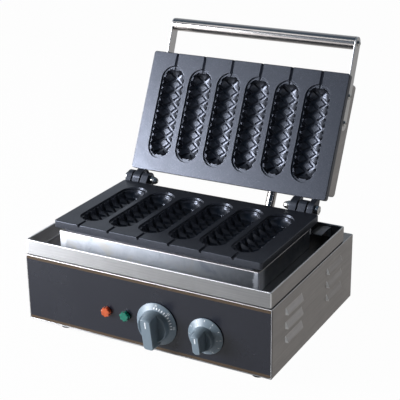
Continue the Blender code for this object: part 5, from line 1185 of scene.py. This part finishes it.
def mould_plate(name, place, body, node, spans, has_stop, bowl_ends, sizes):
    """The casting with its face up: relief, slab, skirt, block and knuckles."""
    bm = bmesh.new()
    edge, back_edge = sizes.plate_edge, 0.0006
    add_moulding_face(bm, edge, sizes.channel_half, bowl_ends)
    rings = [[Vector((x, y, min(FACE - edge * (1 - cosine), FACE - near_groove(x, y))))
              for x, y in slab_loop(edge * (1 - sine))] for sine, cosine in quarter_steps(4)]
    rings += [level(slab_loop(back_edge * (1 - sine)), PLATE_BACK + back_edge * (1 - cosine))
              for sine, cosine in reversed(quarter_steps(2))]
    made_rings = [[bm.verts.new(point) for point in ring] for ring in rings]
    for upper, lower in zip(made_rings, made_rings[1:]):
        for index in range(len(upper)):
            following = (index + 1) % len(upper)
            bm.faces.new((lower[index], lower[following], upper[following], upper[index]))
    skirt, block = (rounded_rectangle(*sides, PLATE_CORNER) for sides in (SKIRT, BLOCK))
    points, faces = divide([(point.x, point.y) for point in rings[-1]], [closed_line(skirt)])
    for face in faces:
        if not is_inside(middle_of(points, face), skirt):
            bm.faces.new([bm.verts.new((*points[corner], PLATE_BACK)) for corner in reversed(face)])
    low, high = BLOCK_Z
    backs = add_shell(bm, [level(block, low), level(block, high), level(skirt, high),
                           level(skirt, PLATE_BACK)])
    bm.faces.remove(backs[1])
    bmesh.ops.remove_doubles(bm, verts=bm.verts, dist=0.000004)
    knuckles = bmesh.new()
    for left, right in spans:
        add_plate(knuckles, knuckle_outline(has_stop), [circle(BORE, 32)], left, right, across=True)
    soften(knuckles, sizes.knuckle_edge, 2, 60)
    absorb(bm, knuckles)
    make_piece(name, bm, ["ptfe_coated_aluminium"], body, [node],
               place=place, sharp=27)


class WAFFLE_OT_mould_plates(bpy.types.Operator):
    """Both mould castings with lattice cavities, stick grooves and hinge knuckles"""
    bl_idname = "waffle.mould_plates"
    bl_label = "Mould plates"

    def execute(self, context):
        sizes = context.scene.waffle_sizes
        mould_plate("lower_mould_casting", LOWER, "base", "lower_mould_plate",
                    hinge_spans(LEFT_HINGE_X, RIGHT_HINGE_X), False, (1,), sizes)
        # The upper one lies face down when closed, so its left and right change places
        mould_plate("upper_mould_casting", UPPER, "lid", "upper_mould_plate",
                    hinge_spans(-RIGHT_HINGE_X, -LEFT_HINGE_X), True, (), sizes)
        return {"FINISHED"}


# Lid: cover, handle and straps

def strap_screw_places():
    low = Vector(STRAP_LOW)
    along = (Vector(HANDLE_AXIS) - low).normalized()
    return [tuple(low + along * offset) for offset in SCREW_OFFSETS]


class WAFFLE_OT_lid_cover(bpy.types.Operator):
    """Folded cover of the upper heater"""
    bl_idname = "waffle.lid_cover"
    bl_label = "Lid cover"

    def execute(self, context):
        screws = [circle(SCREW_HOLE, 16, place) for place in strap_screw_places()]
        top = [circle(COVER_SCREW_HOLE, 16, (x, CAVITY_Y)) for x in (-COVER_SCREW_X, COVER_SCREW_X)]
        entry = [circle(CONDUIT_RADIUS + CONDUIT_SLACK, 32, (CONDUIT_X, CONDUIT_RISE))]
        bm = bmesh.new()
        folded_box(bm, (-COVER_X, COVER_FRONT, COVER_LOW), (COVER_X, COVER_REAR, COVER_TOP),
                   COVER_BEND, (2, 0), {(0, 0): (screws, ()), (0, 1): (screws, ()), (2, 1): (top, ()),
                                        (1, 1): (entry, ())}, 6)
        for face in bm.faces:
            if abs(face.normal.x) > 0.7:
                face.material_index = 1
        make_piece("upper_cover_sheet", bm, ["brushed_304_along_x", "brushed_304_along_y"], "lid",
                   ["upper_cover"], place=LID, wall=SHEET, closed=False)
        return {"FINISHED"}


def socket_screw():
    """Button-head screw, up from its seat: shank, domed head and hexagon socket."""
    steps = 24
    rings = circles(
        steps, (0.0020, -SCREW_LENGTH), (0.0024, 0.0008 - SCREW_LENGTH), (0.0024, SEAT_GAP),
        (0.0046, SEAT_GAP), (0.0047, 0.0006), (0.0046, 0.0012), (0.0041, 0.0020), (0.0032, 0.0027),
        (0.0021, 0.0031))
    return new_shell(rings + hexagons(0.0030, steps, (1, 0.0030)) + hexagons(0.0029, steps, (1, 0.0017)))


class WAFFLE_OT_handle(bpy.types.Operator):
    """Tubular handle, its two straps and their screws"""
    bl_idname = "waffle.handle"
    bl_label = "Handle"

    def execute(self, context):
        tube = new_shell(circles(64, (HANDLE_RADIUS, -HANDLE_HALF), (HANDLE_RADIUS, HANDLE_HALF),
                                 (HANDLE_BORE, HANDLE_HALF), (HANDLE_BORE, -HANDLE_HALF)), True)
        make_piece("handle_tube_polished", tube, ["polished_304_tube"], "lid",
                   ["handle_tube"], place=at(LID, (0, *HANDLE_AXIS), OUT_OF_RIGHT))
        outline = capsule(HANDLE_AXIS, STRAP_LOW, STRAP_HALF_WIDTH, 24)
        places = [HANDLE_AXIS] + strap_screw_places()
        for side, sign, direction in (("right", 1, OUT_OF_RIGHT), ("left", -1, OUT_OF_LEFT)):
            bm = bmesh.new()
            add_plate(bm, outline, [circle(SCREW_HOLE, 16, place) for place in places],
                      *sorted(sign * x for x in STRAP_X), across=True)
            soften(bm, 0.0007)
            make_piece("handle_strap_" + side, bm, ["satin_304_strap"], "lid",
                       ["strap_" + side], place=LID)
            names = ["handle_screw_" + side, "strap_screw_" + side + "_1", "strap_screw_" + side + "_2"]
            for node, place in zip(names, places):
                make_piece(node + "_domed", socket_screw(), ["bright_zinc_plate"], "lid",
                           [node], place=at(LID, (sign * STRAP_X[1], *place), direction))
        return {"FINISHED"}


class WAFFLE_OT_hinge_fasteners(bpy.types.Operator):
    """Hinge bolts with chamfered heads, acorn nuts and the set screw"""
    bl_idname = "waffle.hinge_fasteners"
    bl_label = "Hinge fasteners"

    def execute(self, context):
        steps = 36
        for label, centre, direction in (("left", LEFT_HINGE_X, OUT_OF_LEFT),
                                         ("right", RIGHT_HINGE_X, OUT_OF_RIGHT)):
            outer, inner = pair_spans(centre)
            head = math.copysign(max(map(abs, outer)) + SEAT_GAP, centre)
            nut = math.copysign(min(map(abs, inner)) - SEAT_GAP, centre)
            # Threaded end, shank, hexagon with its chamfer and a dished top
            bolt = circles(steps, (0.004, abs(nut) - abs(head) - 0.008), (0.004, 0))
            bolt += hexagons(HEXAGON_HEAD, steps, (1, 0), (1, 0.0045), (0.93, 0.0053))
            bolt += circles(steps, (0.0050, 0.0053), (0.0046, 0.0049))
            make_piece("hinge_bolt_" + label + "_turned", new_shell(bolt), ["bright_zinc_plate"], "base",
                       ["hinge_bolt_" + label],
                       place=at(LOWER, (head, 0, 0), direction))
            # Bore, hexagon, neck and dome, away from the knuckle
            acorn = circles(steps, (0.0043, -0.0083), (0.0043, 0))
            acorn += hexagons(HEXAGON_HEAD, steps, (0.95, 0), (1, -0.0006), (1, -0.0050))
            acorn += circles(steps, (0.0063, -0.0055))
            angles = [math.radians(11.5 * step) for step in range(8)]
            acorn += circles(steps, *[(0.0059 * math.cos(angle), -0.0058 - 0.0077 * math.sin(angle))
                                      for angle in angles])
            make_piece("acorn_nut_" + label + "_domed", new_shell(acorn), ["bright_zinc_plate"], "base",
                       ["acorn_nut_" + label],
                       place=at(LOWER, (nut, 0, 0), direction))
        steps = 24
        screw = new_shell(
            circles(steps, (0.0026, 0.009), (0.0029, 0.0093), (0.0029, 0.0142), (0.0025, 0.0146))
            + hexagons(0.0028, steps, (1, 0.0146)) + hexagons(0.0027, steps, (1, 0.0128)))
        make_piece("hinge_set_screw_socket", screw, ["blackened_steel"], "base",
                   ["hinge_set_screw"], place=at(LOWER, (SET_SCREW_X, 0, 0)))
        return {"FINISHED"}


# Conduit

def conduit_line(steps):
    """Centre line in the machine frame: inside the cover, out of its wall, down into the deck."""
    hinge = Vector((0, HINGE_Y, HINGE_Z))
    along = Vector((0, -math.cos(OPEN_ANGLE), math.sin(OPEN_ANGLE)))
    back = Vector((0, math.sin(OPEN_ANGLE), math.cos(OPEN_ANGLE)))
    wall = hinge - along * COVER_REAR + back * CONDUIT_RISE + Vector((CONDUIT_X, 0, 0))
    deck = Vector((CONDUIT_X, CONDUIT_BASE_Y, BASE_HEIGHT + 0.004))
    first = wall - along * 0.008
    pulls = (first, first - along * 0.022, deck + Vector((0, 0, 0.018)), deck)
    points = [wall + along * 0.0092, wall + along * 0.0045, wall]
    for step in range(steps + 1):
        t = step / steps
        shares = ((1 - t) ** 3, 3 * (1 - t) ** 2 * t, 3 * (1 - t) * t ** 2, t ** 3)
        points.append(sum((pull * share for pull, share in zip(pulls, shares)), Vector()))
    return points + [deck - Vector((0, 0, depth)) for depth in (0.010, 0.020, 0.030)]


def ribbed_rings(line, rib, pitch):
    """Rings along a line, four to a rib, each square to the line's smoothed heading."""
    stations = [0.0]
    for a, b in zip(line, line[1:]):
        stations.append(stations[-1] + (b - a).length)
    count = int(stations[-1] / pitch * 4)
    last = len(line) - 2
    across = Vector((1, 0, 0))
    sides = 32
    turns = [2 * math.pi * side / sides for side in range(sides)]
    rings = []
    piece = 0
    for step in range(count + 1):
        reach = stations[-1] * step / count
        while piece < last and stations[piece + 1] < reach:
            piece += 1
        share = (reach - stations[piece]) / (stations[piece + 1] - stations[piece])
        before, centre, after = (line[start].lerp(line[start + 1], share)
                                 for start in (max(piece - 1, 0), piece, min(piece + 1, last)))
        normal = across.cross((after - before).normalized()).normalized()
        radius = CONDUIT_RADIUS - rib * (1 - math.cos(2 * math.pi * reach / pitch)) / 2
        rings.append([centre + (across * math.cos(turn) + normal * math.sin(turn)) * radius
                      for turn in turns])
    return rings


class WAFFLE_OT_conduit(bpy.types.Operator):
    """Flexible conduit for the lid's wires, its nut and its rubber grommet"""
    bl_idname = "waffle.conduit"
    bl_label = "Conduit"

    def execute(self, context):
        sizes = context.scene.waffle_sizes
        line = [MACHINE @ point for point in conduit_line(24)]
        bm = new_shell(ribbed_rings(line, sizes.tube_rib, sizes.tube_pitch))
        bmesh.ops.recalc_face_normals(bm, faces=bm.faces)
        tube = make_object("ribbed_conduit", bm, ["polished_304_tube"])
        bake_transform(tube)
        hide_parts("lid_conduit")
        steps = 36
        nut = new_shell(
            circles(steps, (0.0078, SEAT_GAP))
            + hexagons(CONDUIT_NUT, steps, (0.95, SEAT_GAP), (1, 0.0010), (1, 0.0070))
            + circles(steps, (0.0112, 0.0080), (0.0085, 0.0080), (0.0078, 0.0074)), closed=True)
        make_piece("conduit_hex_nut", nut, ["polished_304"], "lid", ["conduit_nut"],
                   place=at(LID, (CONDUIT_X, COVER_REAR, CONDUIT_RISE), OUT_OF_REAR))
        # Sleeve through the deck, groove and lip, then the bore on the way down
        grommet = new_shell(circles(
            48, (0.0098, -0.0080), (0.0098, SEAT_GAP), (0.0116, SEAT_GAP), (0.0120, 0.0008), (0.0120, 0.0020),
            (0.0115, 0.0028), (0.0104, 0.0037), (0.0094, 0.0040), (0.0080, 0.0040), (0.0078, 0.0036),
            (0.0078, -0.0080)), closed=True)
        make_piece("conduit_rubber_grommet", grommet, ["moulded_nitrile_rubber"], "base",
                   ["conduit_grommet"],
                   place=at(MACHINE, (CONDUIT_X, CONDUIT_BASE_Y, BASE_HEIGHT)))
        return {"FINISHED"}


# Controls

def grip_outline(half, up, down, corner):
    """Bar that follows the cap's circle at its upper end and has rounded corners at its lower end."""
    points = [(x, math.sqrt(up ** 2 - x ** 2)) for x in (half * (1 - step / 5) for step in range(11))]
    for side, start in ((-1, 180), (1, 270)):
        for step in range(6):
            angle = math.radians(start + 18 * step)
            points.append((side * (half - corner) + corner * math.cos(angle),
                           corner - down + corner * math.sin(angle)))
    return points


def grip_height(y, up, down, top_height, low_height):
    """Height of the grip's face, which slopes from its upper to its lower end."""
    return low_height + (top_height - low_height) * (y + down) / (up + down)


def add_grip(bm, half, up, down, top_height, low_height):
    """Bar across the knob: it rises out of the cap's rim and slopes down to its lower end."""
    inside, at_rim = 0.0040, 0.35
    rings = []
    # Share of the rise, with how far the sides and then the upper end have drawn in by there
    for lift, taper, back in ((0.0, 0, 0), (at_rim, 0, 0), (0.60, 0, 0.0006), (0.80, 0.0001, 0.0016),
                              (0.93, 0.0003, 0.0029), (0.98, 0.0007, 0.0038), (1.0, 0.0013, 0.0046)):
        ring = []
        for x, y in grip_outline(half - taper, up - back, down - taper, 0.0050 - taper):
            rise = grip_height(y, up, down, top_height, low_height) - KNOB_RIM
            ring.append(Vector((x, y, KNOB_RIM + rise * (lift - at_rim) / (1 - at_rim) if lift else inside)))
        rings.append(ring)
    add_shell(bm, rings)


def polar(radius, degrees):
    return Vector((radius * math.cos(math.radians(degrees)), radius * math.sin(math.radians(degrees))))


def radial_strokes(degrees, start, end, half):
    return [capsule(polar(start, turn), polar(end, turn), half, 3) for turn in degrees]


def number_strokes(text, radius, degrees, tall):
    """Seven-line digits that stand upright toward the knob's rim."""
    up = polar(1, degrees)
    along = Vector((up.y, -up.x))
    strokes = []
    for index, digit in enumerate(text):
        centre = up * radius + along * ((index - (len(text) - 1) / 2) * tall * 0.85)
        for line in DIGIT_LINES[digit]:
            ends = [centre + along * (x * tall * 0.26) + up * (y * tall / 2) for x, y in SEVEN_LINES[line]]
            strokes.append(capsule(*ends, tall * 0.07, 3))
    return strokes


def add_print(bm, strokes, height_at, thick):
    """Printed strokes: thin raised patches over the knob's surface."""
    for stroke in strokes:
        add_shell(bm, [[Vector((x, y, height_at(x, y) + lift)) for x, y in stroke]
                       for lift in (-0.0001, thick)])


class WAFFLE_OT_knobs(bpy.types.Operator):
    """Thermostat and timer knobs with their printed marks"""
    bl_idname = "waffle.knobs"
    bl_label = "Knobs"

    def execute(self, context):
        thick = context.scene.waffle_sizes.mark
        rim = KNOB_RIM
        for body, (x, z), (flange, cap, grip) in (
                ("thermostat", THERMOSTAT, THERMOSTAT_KNOB), ("timer", TIMER, TIMER_KNOB)):
            up = grip[1]
            place = at(MACHINE, (x, FRONT_Y - KNOB_GAP, z), OUT_OF_FRONT)
            # Shaft's bore, flange, cone, cap with its raised rim and a dished face
            bm = new_shell(circles(
                72, (0.0033, 0.0060), (0.0033, 0), (flange - 0.0012, 0), (flange - 0.0003, 0.0004),
                (flange, 0.0010), (flange - 0.0006, 0.0018), (cap + 0.0010, 0.0066), (cap + 0.0002, 0.0071),
                (cap, 0.0080), (cap - 0.0003, rim - 0.0012), (cap - 0.0009, rim - 0.0002),
                (cap - 0.0020, rim), (cap - 0.0034, rim - 0.0012), (cap - 0.0085, 0.0108), (0.004, 0.0098)))
            add_grip(bm, *grip)
            make_piece(body + "_knob_moulded", bm, ["moulded_abs"], body, [body + "_knob"],
                       place=place)

            if body == "thermostat":
                strokes = radial_strokes([92 - 9.2 * dot for dot in range(11)],
                                         cap + 0.0022, cap + 0.0035, 0.0008)
                for number, degrees in (("50", 88), ("100", 46), ("200", 2)):
                    strokes += number_strokes(number, flange - 0.0027, degrees, 0.0019)
            else:
                strokes = radial_strokes([180 - 30 * tick for tick in range(11)],
                                         flange - 0.0036, flange - 0.0018, 0.00035)
                for number in range(6):
                    strokes += number_strokes(str(number), cap + 0.0027, 180 - 60 * number, 0.0017)
            # The marks lie on the flange's cone, which falls away from the cap, and the pointer on the grip
            cone = flange - cap - 0.0016
            bm = bmesh.new()
            add_print(bm, strokes, lambda x, y: 0.0066 - 0.0048 * min(max(
                (math.hypot(x, y) - cap - 0.0010) / cone, 0), 1), thick)
            pointer = up - 0.0070
            add_print(bm, [capsule((0, pointer), (0, pointer - 0.40 * up), 0.0008, 6)],
                      lambda x, y: grip_height(y, *grip[1:]), thick)
            make_piece(body + "_knob_print", bm, ["pad_printed_white"], body, place=place)
        return {"FINISHED"}


class WAFFLE_OT_lamps(bpy.types.Operator):
    """Faceted lenses of the two indicator lamps"""
    bl_idname = "waffle.lamps"
    bl_label = "Lamps"

    def execute(self, context):
        steps = 56
        # Seven teeth round the lens, 13 percent deep
        depths = [1 - 0.13 * (step // 4 % 2) for step in range(steps)]
        cog = [(x * depth, y * depth) for depth, (x, y) in zip(depths, circle(LENS_RADIUS, steps))]
        for label, x in LAMP_PLACES:
            bm = new_shell(circles(48, (0.0066, SEAT_GAP), (0.0069, 0.0006), (0.0069, 0.0014),
                                   (0.0065, 0.0018)))
            add_shell(bm, [level([(x * share, y * share) for x, y in cog], height) for share, height in (
                (0.96, 0.0010), (1.0, 0.0016), (1.0, 0.0060), (0.93, 0.0066), (0.80, 0.0068))])
            make_piece("faceted_lens_" + label, bm, [label + "_polycarbonate"], "base",
                       ["lamp_lens_" + label], sharp=12,
                       place=at(MACHINE, (x, FRONT_Y, LAMP_Z), OUT_OF_FRONT))
        return {"FINISHED"}


class WAFFLE_OT_inlet_gland(bpy.types.Operator):
    """Gland for the mains lead in the rear wall"""
    bl_idname = "waffle.inlet_gland"
    bl_label = "Inlet gland"

    def execute(self, context):
        steps = 36
        # Thread through the wall, hexagon, then the domed cap and its bore
        rings = circles(steps, (0.0045, -0.012), (0.0077, -0.012), (0.0077, SEAT_GAP))
        rings += hexagons(0.022, steps, (0.96, SEAT_GAP), (1.0, 0.0010), (1.0, 0.0056), (0.96, 0.0063))
        rings += circles(steps, (0.0093, 0.0063), (0.0095, 0.0070), (0.0095, 0.0115), (0.0090, 0.0140),
                         (0.0079, 0.0163), (0.0064, 0.0179), (0.0055, 0.0183), (0.0047, 0.0180),
                         (0.0045, 0.0170))
        make_piece("mains_inlet_gland", new_shell(rings, closed=True), ["moulded_black_nylon"], "base",
                   ["inlet_gland"],
                   place=at(MACHINE, (INLET[0], REAR_Y, INLET[1]), OUT_OF_REAR))
        return {"FINISHED"}


class WAFFLE_OT_inner_pieces(bpy.types.Operator):
    """Finishes for the carried-over pieces inside the base, the lid and the handle"""
    bl_idname = "waffle.inner_pieces"
    bl_label = "Inner pieces"

    def execute(self, context):
        finishes = {
            "brushed_304_along_x": ("bottom_plate", "lower_clamp_plate", "upper_clamp_plate"),
            "polished_304": ("lower_stack_screw_1", "lower_stack_screw_2", "upper_stack_screw_1",
                             "upper_stack_screw_2", "handle_plug_left", "handle_plug_right"),
            "moulded_black_nylon": ("lamp_body_orange", "lamp_body_green", "timer_body",
                                    "inlet_gland_nut"),
            "moulded_white_pbt": ("thermostat_body", "terminal_block"),
            "turned_brass": ("thermostat_shaft", "timer_shaft"),
            "oxidised_heater_sheath": ("lower_element", "upper_element"),
            "needled_mineral_wool": ("lower_wool", "upper_wool"),
        }
        for finish, nodes in finishes.items():
            for node in nodes:
                slots = frame["nodes"][node].data.materials
                for index in range(max(len(slots), 1)):
                    if index < len(slots):
                        slots[index] = material_of(finish)
                    else:
                        slots.append(material_of(finish))
        return {"FINISHED"}


# Studio

# Name, place, target, width and height, radiance and tint of every lamp
SOFTBOXES = (
    ("key_softbox", (-1.42, -1.20, 0.54), (0.0, 0.0, 0.4), (0.93, 1.02), 22.0, (0.96, 0.99, 1.06)),
    ("high_softbox", (-0.75, -0.85, 1.75), (0.0, 0.0, 0.15), (0.7, 0.5), 1.2, (1, 1, 1)),
    ("left_strip", (-1.55, 0.10, 0.55), (0.0, 0.0, 0.15), (0.22, 0.6), 9.0, (1, 1, 1)),
)
CAMERA_PLACE = (0.75626, -1.37601, 0.78194)
CAMERA_YAW, CAMERA_PITCH, CAMERA_ROLL = (math.radians(value) for value in (28.96, -21.28, -0.84))
CAMERA_LENS = 100.92


def add_softbox(name, place, target, size, radiance, tint):
    """Rectangular area lamp that faces its target, whose face has the given radiance."""
    lamp = bpy.data.lights.new(name, "AREA")
    lamp.shape = "RECTANGLE"
    lamp.size, lamp.size_y = size
    lamp.energy = radiance * math.pi * size[0] * size[1]
    lamp.color = tint
    made = bpy.data.objects.new(name, lamp)
    made.location = place
    made.rotation_euler = (Vector(target) - Vector(place)).to_track_quat("-Z", "Y").to_euler()
    bpy.context.scene.collection.objects.link(made)


def add_floor(tint):
    """Matt pale floor, white to the camera and through the lenses, and dim in the metal's reflections."""
    speck = 0.025
    tree, shader, place = start_material("pale_studio_floor", tint, 0.9)
    grain = add_node(tree, "ShaderNodeTexNoise", {"Vector": place, "Scale": 1 / speck, "Detail": 2.0})
    set_sockets(tree, shader, {
        "Base Color": add_node(tree, "ShaderNodeValToRGB", {0: grain}, [
            (LOW_NOISE, shade(tint, 0.99)), (HIGH_NOISE, tint)])})
    rays = add_node(tree, "ShaderNodeLightPath").outputs
    direct = add_node(tree, "ShaderNodeMath", {0: rays["Is Camera Ray"], 1: rays["Is Transmission Ray"]},
                      operation="MAXIMUM")
    shares = [add_node(tree, "ShaderNodeMath", {0: ray, 1: share}, operation="MULTIPLY")
              for ray, share in ((direct, 0.98), (rays["Is Glossy Ray"], 0.27))]
    share = add_node(tree, "ShaderNodeMath", dict(enumerate(shares)), operation="MAXIMUM")
    white = add_node(tree, "ShaderNodeEmission", {"Color": grey(1.0), "Strength": 1.0})
    mixed = add_node(tree, "ShaderNodeMixShader", {0: share, 1: shader, 2: white})
    set_sockets(tree, tree.nodes["Material Output"], {"Surface": mixed})
    bm = bmesh.new()
    bmesh.ops.create_grid(bm, x_segments=8, y_segments=8, size=4.0)
    floor = make_object("studio_floor", bm, ["pale_studio_floor"])


def add_world(scene):
    """White to the camera; the metal reflects a dark room that is light on the left and behind."""
    scene.world = bpy.data.worlds.new("studio")
    scene.world.use_nodes = True
    tree = scene.world.node_tree
    tree.nodes.clear()
    rays = add_node(tree, "ShaderNodeLightPath").outputs
    direction = add_node(tree, "ShaderNodeTexCoord").outputs["Generated"]
    sides = add_node(tree, "ShaderNodeSeparateXYZ", {0: direction}).outputs
    across = add_node(tree, "ShaderNodeMapRange", {0: sides["X"], 1: -1.0, 2: 1.0})
    room = add_node(tree, "ShaderNodeValToRGB", {0: across}, [
        (0.0, grey(0.50)), (0.22, (0.10, 0.14, 0.19, 1.0)), (0.5, (0.03, 0.06, 0.105, 1.0)),
        (1.0, (0.035, 0.04, 0.045, 1.0))])
    behind = add_node(tree, "ShaderNodeMapRange", {0: sides["Y"], 1: 0.2, 2: 0.8, 3: 0.0, 4: 0.40})
    whole = add_node(tree, "ShaderNodeMix", {0: 1.0, 6: room, 7: behind}, data_type="RGBA", blend_type="ADD")
    plain, lit, glossy = (
        add_node(tree, "ShaderNodeBackground", {"Color": value, "Strength": strength})
        for value, strength in ((grey(1.0), 1.0), (grey(0.07), 1.0), (whole.outputs[2], 0.9)))
    seen = add_node(tree, "ShaderNodeMath", {0: rays["Is Camera Ray"], 1: rays["Is Transmission Ray"]},
                    operation="MAXIMUM")
    shiny = add_node(tree, "ShaderNodeMixShader", {0: rays["Is Glossy Ray"], 1: lit, 2: glossy})
    mixed = add_node(tree, "ShaderNodeMixShader", {0: seen, 1: shiny, 2: plain})
    add_node(tree, "ShaderNodeOutputWorld", {0: mixed})


def add_camera(scene):
    """Camera at the photo's angle, turned by yaw, pitch and a slight roll."""
    camera = bpy.data.cameras.new("photo_camera")
    camera.lens = CAMERA_LENS
    camera.sensor_width = 36.0
    camera.clip_start = 0.05
    made = bpy.data.objects.new("photo_camera", camera)
    forward = Vector((-math.sin(CAMERA_YAW) * math.cos(CAMERA_PITCH),
                      math.cos(CAMERA_YAW) * math.cos(CAMERA_PITCH), math.sin(CAMERA_PITCH)))
    right = Vector((math.cos(CAMERA_YAW), math.sin(CAMERA_YAW), 0))
    up = right.cross(forward)
    turned_right = right * math.cos(CAMERA_ROLL) + up * math.sin(CAMERA_ROLL)
    turned_up = up * math.cos(CAMERA_ROLL) - right * math.sin(CAMERA_ROLL)
    turn = Matrix((turned_right, turned_up, -forward)).transposed()
    made.matrix_world = Matrix.Translation(CAMERA_PLACE) @ turn.to_4x4()
    scene.collection.objects.link(made)
    scene.camera = made


class WAFFLE_OT_studio(bpy.types.Operator):
    """Pale floor, soft lamps, world and camera"""
    bl_idname = "waffle.studio"
    bl_label = "Studio"

    def execute(self, context):
        scene = context.scene
        scene.view_settings.view_transform = "Standard"
        add_floor(tuple(scene.waffle_colours.floor))
        add_world(scene)
        for softbox in SOFTBOXES:
            add_softbox(*softbox)
        add_camera(scene)
        return {"FINISHED"}


OPERATORS = (
    WAFFLE_OT_base_box, WAFFLE_OT_front_panel, WAFFLE_OT_feet, WAFFLE_OT_tray, WAFFLE_OT_heater_box,
    WAFFLE_OT_mould_plates, WAFFLE_OT_lid_cover, WAFFLE_OT_handle, WAFFLE_OT_hinge_fasteners,
    WAFFLE_OT_conduit, WAFFLE_OT_knobs, WAFFLE_OT_lamps, WAFFLE_OT_inlet_gland,
    WAFFLE_OT_inner_pieces, WAFFLE_OT_studio,
)


class WAFFLE_PT_maker(bpy.types.Panel):
    """Sizes, colours and pieces of the waffle stick maker"""
    bl_idname = "WAFFLE_PT_maker"
    bl_label = "Waffle Maker"
    bl_space_type = "VIEW_3D"
    bl_region_type = "UI"
    bl_category = "Waffle Maker"

    def draw(self, context):
        layout = self.layout
        for group in (context.scene.waffle_sizes, context.scene.waffle_colours):
            box = layout.box()
            for name in group.__annotations__:
                box.prop(group, name)
        for operator in OPERATORS:
            layout.operator(operator.bl_idname)


CLASSES = (WaffleMakerSizes, WaffleMakerColours) + OPERATORS + (WAFFLE_PT_maker,)


def register():
    for cls in CLASSES:
        bpy.utils.register_class(cls)
    bpy.types.Scene.waffle_sizes = PointerProperty(type=WaffleMakerSizes)
    bpy.types.Scene.waffle_colours = PointerProperty(type=WaffleMakerColours)


def unregister():
    del bpy.types.Scene.waffle_colours
    del bpy.types.Scene.waffle_sizes
    for cls in reversed(CLASSES):
        bpy.utils.unregister_class(cls)


def main():
    register()
    for operator in OPERATORS:
        group, name = operator.bl_idname.split(".")
        getattr(getattr(bpy.ops, group), name)()
    bpy.context.view_layer.update()


if __name__ == "__main__":
    main()
